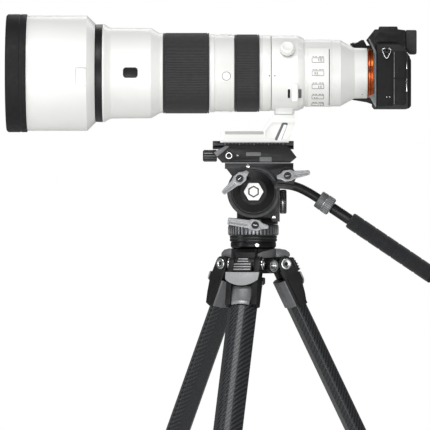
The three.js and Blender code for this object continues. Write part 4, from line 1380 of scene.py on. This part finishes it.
@dataclass(frozen=True)
class FluidHead:
    """The fluid head: base, ribbed drag ring, pan body, tilting cradle, drum cap, dials and levers."""

    axis_z: float = -137.2
    ring_low: float = -188.2
    ring_high: float = -175.6

    def build(self) -> None:
        """Builds the head from the base up."""
        self.base()
        self.drag_ring()
        self.pan_body()
        self.cradle()
        self.drum_cap()
        for lever in self.levers():
            lever.build()

    def base(self) -> None:
        """Builds the stepped base with its set screw."""
        base = turned("head_base_ring", Axis.Z, [
            (-203.2, 0), (-203.2, 24.5), (-200.8, 26.4), (-196.6, 26.4), (-196.3, 25.9), (-195.2, 25.9),
            (-194.8, 27.4), (-192.2, 27.4), (-192.0, 26.9), (-191.4, 26.9), (-191.2, 27.4), (-188.5, 27.4),
            (-188.5, 22), (-175.6, 22), (-175.6, 0)], FINE)
        dress(soften(base, 0.35), BLACK_ANODISED, "tripod", "black_metal", "head_base")
        Screw(2.6, 0.9).fit("base_set_screw", "tripod", near(4.1, -26.1, -198.9))

    def drag_ring(self) -> None:
        """Builds the pan-drag ring with its square vertical ribs."""
        low, high = self.ring_low, self.ring_high
        ring_body = turned("drag_ring_body", Axis.Z, [
            (low, 22.7), (low, 28.2), (low + 0.8, 29), (low + 1.6, 27.6), (high - 2.2, 27.6),
            (high - 1.4, 29),
            (high - 0.5, 29), (high, 28.5), (high, 22.7)], FINE)
        soften(ring_body, 0.3)
        rib = soften(block("rib", (27.2, 29.4), (-1.35, 1.35), (low + 1.2, high - 1.8)), 0.4, 2)
        ribs = spun_copies(rib, Axis.Z, 40)
        dress(merge("drag_ring_body", [ring_body, ribs]), RIBBED_ALLOY, "pan_drag", "black_metal",
              "pan_drag_ring")

    def pan_body(self) -> None:
        """Builds the pan body, its bright wedge and the drag dial."""
        dress(refined("pan_body", 0.8, 3), BLACK_CAST, "head", "black_metal", "pan_body", place=HERE)
        collar = turned("pan_collar", Axis.Z, [
            (-175.2, 24), (-175.2, 28.2), (-173.4, 28.6), (-170.2, 28.2), (-168.4, 26.6), (-168.4, 24)], FINE)
        dress(soften(collar, 0.3), BLACK_ANODISED, "head", "black_metal")
        wedge = slab("index_wedge", filleted([(21.4, -168.3), (25.6, -168.3), (25.6, -164.4),
                                              (22.4, -164.9)], 0.5, 2),
                     -19.6, -17.5, 0.25, Axis.Y)
        dress(wedge, BRIGHT_STEEL, "head", "steel")
        dial = Knob(14.0, 7.7, 40, rib=0.35, crown=0.8, dish=0.6).shape("drag_dial_cap")
        place = facing((30.8, 0, -149), (1, 0, 0))
        dress(dial, BLACK_ANODISED, "drag_control", "black_metal", "drag_dial", place=place)
        band = ring("drag_dial_band", 13.2, 14.05, 2.9, 3.7, 0.1, FINE)
        dress(band, BRIGHT_STEEL, "drag_control", "black_metal", place=place)

    def cradle(self) -> None:
        """Builds the cradle, its near rim, and the pin and toothed rosette on its side."""
        dress(refined("tilt_cradle", 0.8, 3), BLACK_CAST, "cradle", "black_metal", "tilt_cradle", place=HERE)
        rim = ring("cradle_rim", 25.2, 30.6, -35.0, -33.2, 0.6, FINE, Axis.Y, (0, 0, self.axis_z))
        dress(rim, DARK_CAST, "cradle", "grey_metal")
        pin = disc("cradle_pin", 2.2, -0.5, 1.5, 0.4, SMALL)
        dress(pin, BRIGHT_STEEL, "cradle", "steel", place=near(-6.4, -34, -107.8))
        seat = ring("rosette_seat", 7.4, 10.3, -41.9, -40.6, 0.3, FINE, Axis.Y, (39, 0, -118.8))
        dress(seat, BLACK_ANODISED, "cradle", "black_metal")
        tooth = soften(block("tooth", (7.6, 10.0), (-42.3, -41.5), (-0.35, 0.35)), 0.15, 1)
        teeth = spun_copies(tooth, Axis.Y, 48)
        teeth.name = teeth.data.name = "rosette_teeth"
        teeth.data.transform(Matrix.Translation(Vector((39, 0, -118.8)) * MM))
        dress(teeth, BRIGHT_STEEL, "cradle", "steel")

    def drum_cap(self) -> None:
        """Builds the domed cap with its bright ring and a plain hexagonal emblem with a groove."""
        at = (0, 0, self.axis_z)
        cap = turned("drum_dome", Axis.Y, [
            (-34.3, 0), (-34.3, 24.4), (-37.0, 24.4), (-37.4, 23.4), (-38.4, 21.6), (-40.0, 18.6),
            (-41.3, 16.2),
            (-41.9, 15.2), (-41.9, 0)], FINE, at)
        notch = turned("notch", Axis.Y, [(-60, 0), (-60, 4.6), (-30, 4.6), (-30, 0)], MEDIUM, (-16, 0, -122))
        cut(cap, notch)
        dress(soften(cap, 0.5, 3), CRINKLE_PAINT, "cradle", "black_paint", "drum_cap")
        halo = ring("drum_halo", 24.2, 25.2, -37.2, -36.0, 0.25, FINE, Axis.Y, at)
        dress(halo, DARK_CAST, "cradle", "black_metal")
        hexagon = filleted([(11.4, 0), (5.7, 9.9), (-5.7, 9.9), (-11.4, 0), (-5.7, -9.9), (5.7, -9.9)], 1.6)
        emblem = pulled("hexagon_emblem", Axis.Z, hexagon, -0.8, 0.9)
        inner = filleted([(6.2, -3.2), (6.2, 3.6), (0, 7.0), (-6.2, 3.6), (-6.2, -3.2), (0, -7.0)], 1.2)
        core = filleted([(4.6, -2.4), (4.6, 2.6), (0, 5.2), (-4.6, 2.6), (-4.6, -2.4), (0, -5.2)], 0.9)
        groove = pulled("groove", Axis.Z, inner, 0.3, 2)
        island = pulled("island", Axis.Z, core, 0, 3)
        cut(groove, island)
        cut(emblem, groove)
        dress(soften(emblem, 0.2), WHITE_ENAMEL, "cradle", "white_shell", place=near(0, -41.9, self.axis_z))
        floor = pulled("emblem_inlay", Axis.Z, inner, 0.05, 0.42)
        dress(floor, MARK_INK, "cradle", "black_paint", place=near(0, -41.9, self.axis_z))

    def levers(self) -> list[WingLever]:
        """Lists the three wing levers."""
        return [
            WingLever("tilt_wing", "tilt_lock", "tilt_lever", (-16, -122), -50.0, -34.4, 221.2),
            WingLever("handle_wing", "handle_lock", "handle_lever", (39, -118.8), -58.5, -52.4, 8.3),
            WingLever("pan_wing", "pan_lock", "pan_lever", (1.9, -175.8), -40.5, -33.4, 171.6, 32.0, 15.5,
                      4.3),
        ]


@dataclass(frozen=True)
class PanHandle:
    """The pan handle: clamp, bent tube, two-part lock collar, sliding grip of foam and its end cap."""

    y: float = -47.0
    start: tuple[float, float] = (72.0, -143.5)
    drop: float = 34.0
    rod: float = 5.0

    def along(self) -> Matrix:
        """Gives the matrix that lays a piece drawn along X onto the handle's straight axis."""
        at = Vector((self.start[0], self.y, self.start[1])) * MM
        return at_datum() @ Matrix.Translation(at) @ Matrix.Rotation(math.radians(self.drop), 4, "Y")

    def build(self) -> None:
        """Builds the handle from its clamp to its end."""
        self.clamp()
        self.tube()
        self.collar()
        self.grip()

    def clamp(self) -> None:
        """Builds the clamp's ear."""
        eye = arc((39, -118.8), 10, -30, 190, 24)
        outline = [(45.5, -134.6), *eye, *filleted([(24, -127), (23.5, -133), (28, -136)], 1.5)[3:]]
        ear = soften(pulled("handle_ear", Axis.Y, outline, -52, -42.4), 0.8, 3)
        dress(ear, BLACK_CAST, "pan_handle", "black_metal", "handle_clamp")

    def tube(self) -> None:
        """Builds the bent tube as a round section swept along its line."""
        lean = math.radians(self.drop)
        x, z = self.start
        knots = [(27.0, -128.4), (38.0, -129.2), (49.0, -131.6), (60.0, -136.4), (x, z)]
        knots += [(x + s * math.cos(lean), z - s * math.sin(lean)) for s in (14, 30, 60, 100)]
        bpy.ops.curve.primitive_bezier_curve_add(location=(0, 0, 0))
        line = bpy.context.object
        line.data.splines.clear()
        spline = line.data.splines.new("BEZIER")
        spline.bezier_points.add(len(knots) - 1)
        for point, (u, v) in zip(spline.bezier_points, knots):
            point.co = Vector((u, self.y, v)) * MM
            point.handle_left_type = point.handle_right_type = "AUTO"
        line.data.dimensions = "3D"
        line.data.resolution_u = 12
        line.data.bevel_depth = 5.3 * MM
        line.data.bevel_resolution = 10
        line.data.use_fill_caps = True
        bpy.ops.object.convert(target="MESH")
        tube = bpy.context.object
        tube.name = tube.data.name = "handle_rod"
        dress(tube, BLACK_PLASTIC, "pan_handle", "black_paint", "handle_tube")

    def collar(self) -> None:
        """Builds the lock collar: a plain ring and a ribbed ring with a bright seam between them."""
        r = self.rod + 0.4
        ring_body = turned("lock_collar", Axis.X, [
            (3, r), (3, 9.2), (3.8, 10.2), (10.6, 10.5), (10.9, 9.8), (11.5, 9.8), (11.8, 10.3), (20.4, 10.3),
            (21.5, 9.5), (21.5, r)], FINE)
        soften(ring_body, 0.3)
        rib = soften(block("rib", (12.6, 20.0), (-0.55, 0.55), (10.0, 10.65)), 0.2, 1)
        ribs = spun_copies(rib, Axis.X, 28)
        collar = merge("lock_collar", [ring_body, ribs])
        dress(collar, GREY_CAST, "grip_lock", "black_metal", "handle_lock_collar", place=self.along())
        seam = ring("lock_collar_seam", 9.7, 10.2, 10.95, 11.45, 0.05, FINE, Axis.X)
        dress(seam, BRIGHT_STEEL, "grip_lock", "steel", place=self.along())

    def grip(self) -> None:
        """Builds the inner tube, the foam grip with moulded rings and the end cap."""
        sleeve = turned("grip_sleeve", Axis.X, [
            (22, 5.2), (22, 5.9), (22.4, 6.2), (46.5, 6.2), (46.5, 5.2)], MEDIUM)
        dress(soften(sleeve, 0.2), BLACK_ANODISED, "grip_slide", "black_metal", place=self.along())
        rings = [(46.8, 5.3), (46.8, 8.4), (47.8, 9.3), (49.4, 9.6)]
        for groove in range(6):
            s = 60.0 + groove * 16.0
            rings += [(s, 9.6), (s + 0.7, 9.15), (s + 1.7, 9.15), (s + 2.4, 9.6)]
        rings += [(159.6, 9.6), (159.6, 5.3)]
        foam = soften(turned("foam_sleeve", Axis.X, rings, FINE), 0.4)
        dress(foam, FOAM_GRIP, "grip_slide", "foam", "handle_grip", place=self.along())
        cap = turned("grip_end_cap", Axis.X, [
            (159.8, 0), (159.8, 9.5), (162.2, 9.5), (164.2, 8.0), (165, 5.6), (164.6, 4.8), (164.6, 0)], FINE)
        dress(soften(cap, 0.4), BLACK_PLASTIC, "grip_slide", "body_plastic", place=self.along())


# ---------------------------------------------------------------------------------------- tripod
@dataclass(frozen=True)
class Spider:
    """The tripod's top casting, its tie-down knob and its accessory port."""

    port_azimuth: float = -44.7
    port_z: float = -223.3

    def build(self) -> None:
        """Builds the casting and what is fitted to it."""
        dress(refined("spider", 0.8, 3), BLACK_CAST, "tripod", "grey_metal", "spider", place=HERE)
        self.shell()
        skirt = turned("spider_skirt", Axis.Z, [
            (-231.9, 18), (-231.9, 24.9), (-230.8, 25.75), (-206.6, 25.75), (-206, 25.5), (-206, 24.5),
            (-229, 24.5), (-229, 18)], FINE)
        dress(soften(skirt, 0.25), BLACK_CAST, "tripod", "black_metal")
        lean = math.radians(self.port_azimuth)
        out = (math.cos(lean), math.sin(lean), 0)
        place = facing((33 * out[0], 33 * out[1], self.port_z), out)
        bezel = ring("port_bezel", 4.9, 6.9, -0.6, 0.9, 0.35)
        dress(bezel, BRIGHT_STEEL, "tripod", "steel", place=place)
        bore = soften(turned("port_thread", Axis.Z, [
            (-6.5, 0), (-6.5, 4.75), *thread(-6.0, 0.2, 4.75, 4.2, 8), (0.2, 4.75), (0.2, 4.8), (-6.9, 4.8),
            (-6.9, 0)],
            SMALL), 0.01, 1)
        dress(bore, BRIGHT_STEEL, "tripod", "steel", place=place)
        knob = Knob(13.8, 9.0, 24, rib=0.6, crown=1.4, dish=0.8).shape("tie_down_grip")
        below = facing((0, 0, -237), (0, 0, -1))
        dress(knob, BLACK_ANODISED, "tripod", "black_metal", "tie_down_knob", place=below)
        neck = disc("tie_down_neck", 5, -237.2, -232.3, 0.2)
        dress(neck, BRIGHT_STEEL, "tripod", "steel")

    def shell(self) -> None:
        """Builds the grey shell over the side arms and its sweep round the hub's near side."""
        for name in ("right", "left"):
            cover = slab(f"arm_cover_{name}", [
                (18, -203.4), (28, -203.4), (36, -204.8), (40.6, -208.2), (41.2, -212), (39.4, -213.4),
                (18, -213.4)], -11.8, 11.8, 0.7, Axis.Y)
            turn = Matrix.Rotation(math.radians(LEGS[name]), 4, "Z")
            dress(cover, GREY_CAST, "tripod", "grey_metal", place=at_datum() @ turn)
        sweep = pulled("arm_sweep", Axis.Y, filleted([
            (-4, -214), (9.4, -207), (24, -203.4), (27.5, -203.4), (27.5, -213.4), (12, -213.8)], 1.2), -40,
            -4)
        wall = turned("wall", Axis.Z, [(-216, 25.2), (-216, 26.8), (-202, 26.8), (-202, 25.2)], 128)
        apply_modifier(sweep, "BOOLEAN", operation="INTERSECT", solver="EXACT", object=wall)
        bpy.data.objects.remove(wall)
        dress(soften(sweep, 0.3), GREY_CAST, "tripod", "grey_metal")


def thread(low: float, high: float, outer: float, inner: float, turns: int) -> list[tuple[float, float]]:
    """Gives the saw-tooth profile of a threaded bore as points of (along, radius)."""
    pitch = (high - low) / turns
    points: list[tuple[float, float]] = []
    for turn in range(turns):
        points += [(low + turn * pitch, outer), (low + (turn + 0.5) * pitch, inner)]
    return points


@dataclass(frozen=True)
class TripodLeg:
    """One leg: hinge, bracket with its shield and sleeve, angle stop, tubes, twist lock and foot."""

    name: str
    azimuth: float
    splay: float = 26.3
    hinge_radius: float = 34.0
    hinge_z: float = -221.0
    centre: float = -5.0
    tube_top: float = -28.3
    tube_bottom: float = -440.0
    lock_bottom: float = -478.0
    lower_top: float = -80.0
    lobe: tuple[float, float, float] = (-7.0, 17.5, 36.87)
    section: tuple[tuple[float, float], ...] = (
        (-1.5, 17), (-5.5, 17), (-10, 9.5), (-10, -9.5), (-5.5, -17), (-1.5, -17))
    ribs: tuple[tuple[float, float], ...] = (
        (-13.6, 10.1), (-10.3, 10.1), (-7.0, 9.9), (-3.5, 6.6), (-0.5, 5.8))

    def frame(self) -> Matrix:
        """Gives the matrix of the leg's own frame: X outwards, Y round the tripod, -Z down the leg."""
        hinge = Matrix.Translation(Vector((self.hinge_radius, 0, self.hinge_z)) * MM)
        turn = Matrix.Rotation(math.radians(self.azimuth), 4, "Z")
        return at_datum() @ turn @ hinge @ Matrix.Rotation(-math.radians(self.splay), 4, "Y")

    def profile(self, grow: float = 1.0) -> list[tuple[float, float]]:
        """Gives the tube's section, a round front and a faceted back, grown by a factor."""
        place, radius, half = self.lobe
        front = arc((place, 0), radius, -half, half, 12)
        back = filleted([front[-1], *self.section, front[0]], 2.4, 6)[7:-7]
        return [(self.centre + u * grow, v * grow) for u, v in [*front, *back]]

    def build(self) -> None:
        """Builds the leg from its hinge to its foot."""
        self.hinge()
        self.bracket()
        self.stop()
        self.upper_tube()
        self.twist_lock()
        self.lower_tube()
        self.foot()

    def fit(self, obj: bpy.types.Object, finish: Finish, part: str, slot: str, *nodes: str,
            angle: float = 32) -> None:
        """Dresses a piece in the leg's frame; part is the body's name without the leg's."""
        body = "tripod" if part == "tripod" else f"{self.name}_{part}"
        named = [f"{self.name}_leg_{node}" for node in nodes]
        obj.name = obj.data.name = f"{self.name}_{obj.name.split('.')[0]}"
        dress(obj, finish, body, slot, *named, place=self.frame(), angle=angle)

    def hinge(self) -> None:
        """Builds the hinge pin with a dished steel head and a hexagon socket on each side."""
        rod_piece = disc("pin_rod", 3, -19.5, 19.5, 0.3, axis=Axis.Y)
        heads = []
        for side in (-1, 1):
            head = turned("head", Axis.Y, [
                (side * 18.9, 0), (side * 18.9, 6.5), (side * 20.4, 6.5), (side * 21, 5.9), (side * 21, 3.6),
                (side * 20.5, 3.2), (side * 20.5, 0)], MEDIUM)
            cut(head, pulled("socket", Axis.Y, arc((0, 0), 2.4, 0, 300, 5),
                             *sorted((side * 19.3, side * 22))))
            heads.append(soften(head, 0.25))
        self.fit(merge("hinge_pin", [rod_piece, *heads]), BRIGHT_STEEL, "tripod", "steel", "hinge_pin")
        for side in (-1, 1):
            name = f"socket_floor_{'near' if side < 0 else 'far'}"
            dot = pulled(name, Axis.Y, arc((0, 0), 2.35, 0, 300, 5), *sorted((side * 19.3, side * 19.6)))
            self.fit(dot, SHADOW_GAP, "tripod", "black_paint")

    def bracket(self) -> None:
        """Builds the bracket, its curved shield and the sleeve that holds the tube."""
        casting = refined(f"{self.name}_leg_bracket", 0.7, 3)
        dress(casting, BLACK_CAST, f"{self.name}_leg", "grey_metal", f"{self.name}_leg_bracket", place=HERE)
        bottom = arc((0, -4.2), 28.2, -46.5, -133.5, 16)
        shield = pulled("shield", Axis.X, [(-20.2, -15.5), (20.2, -15.5), *bottom], 10.6, 12.2)
        self.fit(soften(shield, 0.7, 3), SHIELD_PAINT, "leg", "grey_metal")
        self.sleeve("sleeve_cover", 1.16, (-48.6, -25.0), (14.4, 10.8), (-3, 20), GREY_CAST)
        self.sleeve("sleeve_band", 1.19, (-53.6, -48.9), (10.8, 10.4), (-3, 20), GREY_LEVER)
        self.sleeve("sleeve_back", 1.16, (-49.6, -17.0), (22, 22), (-25, -10.4), GREY_CAST)

    def sleeve(self, name: str, grow: float, span: tuple[float, float], half: tuple[float, float],
               depth: tuple[float, float], finish: Finish) -> None:
        """Builds a piece of the sleeve, tapering down the leg.

        Args:
            name: The piece's name.
            grow: How much larger than the tube it is.
            span: Where it ends and starts along the leg.
            half: Half its width at the top and at the bottom.
            depth: Where it starts and ends from the hinge outwards.
            finish: Its surface.
        """
        low, high = span
        top, foot = half
        piece = pulled(name, Axis.Z, self.profile(grow), low, high)
        cut(piece, pulled("bore", Axis.Z, self.profile(1.1), low - 2, high + 2))
        window = pulled("window", Axis.X, [
            (-top, high + 1), (top, high + 1), (foot, low - 1), (-foot, low - 1)], *depth)
        apply_modifier(piece, "BOOLEAN", operation="INTERSECT", solver="EXACT", object=window)
        bpy.data.objects.remove(window)
        self.fit(soften(piece, 0.3), finish, "leg", "grey_metal")

    def stop(self) -> None:
        """Builds the sliding angle stop, with its finger ribs painted light grey as their highlights."""
        plate = pulled("stop_plate", Axis.X, filleted([
            (-10.6, -15), (10.6, -15), (10.6, -5), (6, 1.5), (-6, 1.5), (-10.6, -5)], 1.4), 10.5, 14.2)
        self.fit(soften(plate, 0.5), BLACK_CAST, "stop", "black_metal", "angle_stop")
        # Painted highlight: the finger ribs are light grey where the plate is black, standing in for the
        # light that they catch.
        ribs = [soften(block("rib", (13.9, 15.6), (-half, half), (z - 0.75, z + 0.75)), 0.5, 2)
                for z, half in self.ribs]
        self.fit(merge("stop_ribs", ribs), GREY_LEVER, "stop", "black_metal")

    def upper_tube(self) -> None:
        """Builds the faceted carbon tube, wrapped with woven cloth."""
        tube = pulled("carbon_tube", Axis.Z, self.profile(), self.tube_bottom, self.tube_top)
        bore = turned("bore", Axis.Z, [
            (self.tube_bottom - 1, 0), (self.tube_bottom - 1, 8.4), (self.tube_top + 1, 8.4),
            (self.tube_top + 1, 0)], MEDIUM, (self.centre, 0, 0))
        cut(tube, bore)
        self.wrap(tube, 14.0)
        self.fit(tube, CARBON, "leg", "carbon", "upper_tube", angle=12)

    def wrap(self, tube: bpy.types.Object, radius: float) -> None:
        """Writes the map that lays cloth round a tube: metres round it and metres along it."""
        mesh = tube.data
        layer = mesh.uv_layers.new(name="Wrap")
        turn_length = math.tau * radius * MM
        for face in mesh.polygons:
            corners = []
            for loop in face.loop_indices:
                point = mesh.vertices[mesh.loops[loop].vertex_index].co
                round_it = math.atan2(point.y, point.x - self.centre * MM) / math.tau * turn_length
                corners.append((loop, round_it, point.z))
            far_side = max(u for _, u, _ in corners)
            for loop, u, v in corners:
                if far_side - u > turn_length / 2:
                    u += turn_length
                layer.data[loop].uv = (u, v)

    def twist_lock(self) -> None:
        """Builds the rubber-coated twist lock with grip pads round it."""
        low, high = self.lock_bottom, self.tube_bottom
        body = turned("lock_body", Axis.Z, [
            (low, 8.5), (low, 14.4), (low + 1, 15), (low + 5, 17.6), (low + 6, 17.9), (high - 8, 18.1),
            (high - 7.4, 17.5), (high - 6.6, 17.5), (high - 6, 18.2), (high - 2.4, 18.0), (high - 0.5, 16.8),
            (high - 0.5, 8.5)], FINE, (self.centre, 0, 0))
        soften(body, 0.35)
        pad = block("pad", (self.centre + 17.2, self.centre + 18.6), (-1.7, 1.7), (low + 8, high - 9.5))
        soften(pad, 0.5, 2)
        pads = spun_copies(pad, Axis.Z, 22, (self.centre, 0, 0))
        self.fit(merge("lock_body", [body, pads]), GRIP_RUBBER, "lock", "rubber", "twist_lock")
        band = ring("lock_band", 15.1, 17.1, high - 2.0, high - 0.9, 0.2, FINE, at=(self.centre, 0, 0))
        band.data.transform(Matrix.Translation((0, 0, 1.2 * MM)))
        self.fit(band, GREY_LEVER, "lock", "grey_metal")

    def lower_tube(self) -> None:
        """Builds the round lower tube."""
        tube = ring("lower_carbon_tube", 6.6, 8, self.foot_top() + 0.3, self.lower_top, 0.3, FINE,
                    at=(self.centre, 0, 0))
        self.wrap(tube, 8.0)
        self.fit(tube, CARBON, "lower", "carbon", "lower_tube")

    def foot_top(self) -> float:
        """Finds how far down the leg the rubber foot starts, from the CAD foot's height above the floor."""
        slope = math.radians(self.splay)
        floor = -DATUM.z / MM
        return -(self.hinge_z - floor + self.centre * math.sin(slope)) / math.cos(slope) + 34

    def foot(self) -> None:
        """Builds the ribbed rubber foot, cut flat where it stands, and its steel collar."""
        top = self.foot_top()
        foot = turned("rubber_foot", Axis.Z, [
            (top - 48, 0), (top - 48, 11), (top - 42, 14.5), (top - 30, 14.5), (top - 29.5, 13.8),
            (top - 28.5, 13.8),
            (top - 28, 14.5), (top - 25.5, 14.5), (top - 25, 13.8), (top - 24, 13.8), (top - 23.5, 14.5),
            (top - 21, 14.3), (top - 4, 11.2), (top, 10.2), (top, 0)], FINE, (self.centre, 0, 0))
        only(foot)
        bpy.ops.object.mode_set(mode="EDIT")
        bpy.ops.mesh.select_all(action="SELECT")
        slope = math.radians(self.splay)
        down = Vector((-math.sin(slope), 0, math.cos(slope)))
        floor_point = Vector((self.centre, 0, top - 34)) * MM
        bpy.ops.mesh.bisect(plane_co=floor_point, plane_no=down, clear_inner=True, use_fill=True)
        tidy_shell()
        self.fit(soften(foot, 0.5), BUMPER_RUBBER, "lower", "rubber", "foot")


# ----------------------------------------------------------------------------------------- stage
@dataclass(frozen=True)
class Studio:
    """A pale floor, a white sky and large soft lamps, with a long lens square to the near side."""

    distance: float = 6.5
    focal: float = 469.0
    elevation: float = 0.5
    ambient: float = 0.22
    aim: tuple[float, float, float] = (-44.5, 0.0, -164.5)

    def build(self) -> None:
        """Builds the floor, the light and the camera."""
        self.floor()
        self.sky()
        self.lamps()
        self.camera()

    def floor(self) -> None:
        """Lays a round pale floor."""
        bpy.ops.object.select_all(action="DESELECT")
        bpy.ops.mesh.primitive_circle_add(vertices=96, radius=2.4, fill_type="NGON", location=(0, 0, -0.0005))
        floor = bpy.context.object
        floor.name = "studio_floor"
        paint = Finish("floor_paint", "#f2f2f1", "#eeeeed", 0.7, 2.0, 0.01, cloud=300)
        floor.data.materials.append(paint.build())

    def sky(self) -> None:
        """Makes the backdrop white, and its light on the outfit dimmer than the lamps."""
        world = bpy.data.worlds.new("studio_sky")
        bpy.context.scene.world = world
        world.use_nodes = True
        world.node_tree.nodes.clear()
        seen = add_node(world.node_tree, "LightPath").outputs["Is Camera Ray"]
        level = add_node(world.node_tree, "MapRange", inputs={0: seen, 3: self.ambient, 4: 1.0})
        light = add_node(world.node_tree, "Background", inputs={
            "Color": (1.0, 1.0, 1.0, 1.0), "Strength": level.outputs[0]})
        add_node(world.node_tree, "OutputWorld", inputs={"Surface": light.outputs[0]})

    def lamps(self) -> None:
        """Hangs a large key above the near side, a strip at each end and one low fill."""
        centre = DATUM + Vector((0, 0, -0.05))
        for name, offset, size, power in (
            ("key", (-0.4, -1.5, 1.7), (1.6, 0.7), 28.5),
            ("left_strip", (-1.8, -0.7, 0.2), (0.4, 1.6), 9.0),
            ("right_strip", (1.8, -0.6, 0.2), (0.4, 1.6), 0.8),
            ("low_fill", (0.0, -1.7, -0.35), (1.8, 0.6), 15.0),
            ("rim", (0.3, 1.6, 1.2), (1.6, 0.6), 9.0),
        ):
            self.lamp(name, centre + Vector(offset), centre, size, power)

    def lamp(self, name: str, at: Vector, aim: Vector, size: tuple[float, float], power: float) -> None:
        """Hangs one soft rectangular lamp.

        Args:
            name: The lamp's name.
            at: Where it hangs.
            aim: The point that it faces.
            size: Its width and height in metres.
            power: Its power in watts.
        """
        bpy.ops.object.light_add(type="AREA", location=at)
        lamp = bpy.context.object
        lamp.name = name
        lamp.data.shape = "RECTANGLE"
        lamp.data.size, lamp.data.size_y = size
        lamp.data.energy = power
        lamp.rotation_euler = (aim - at).to_track_quat("-Z", "Y").to_euler()

    def camera(self) -> None:
        """Sets the camera square to the near side."""
        aim = DATUM + Vector(self.aim) * MM
        rise = math.radians(self.elevation)
        offset = Vector((0, -math.cos(rise), math.sin(rise))) * self.distance
        bpy.ops.object.camera_add(location=aim + offset)
        camera = bpy.context.object
        camera.name = "studio_camera"
        camera.rotation_euler = (math.pi / 2 - rise, 0, 0)
        camera.data.lens = self.focal
        camera.data.sensor_width = 36
        camera.data.clip_end = 50
        bpy.context.scene.camera = camera
        bpy.context.scene.view_settings.view_transform = "Standard"


LEGS = {"front": -104.7, "right": 15.3, "left": 135.3}


def assemblies() -> list[Any]:
    """Lists the outfit's sub-assemblies in the order that they are built."""
    return [
        LensHood(),
        LensBarrel(),
        RubberRing("zoom_ring", "zoom", -104.4, -51.2, 43.4, 46.7, 150),
        RubberRing("focus_ring", "focus", -22.0, 6.7, 42.3, 44.95, 144),
        SwitchPanel(),
        TripodCollar(),
        CameraBody(),
        QuickRelease(),
        FluidHead(),
        PanHandle(),
        Spider(),
        *(TripodLeg(name, azimuth) for name, azimuth in LEGS.items()),
        Studio(),
    ]


def main() -> None:
    """Builds every sub-assembly and reports the pieces."""
    logging.basicConfig(level=logging.INFO, format="%(name)s: %(message)s")
    bpy.ops.object.select_all(action="DESELECT")
    for assembly in assemblies():
        assembly.build()
    bpy.ops.object.select_all(action="DESELECT")


if __name__ == "__main__":
    main()
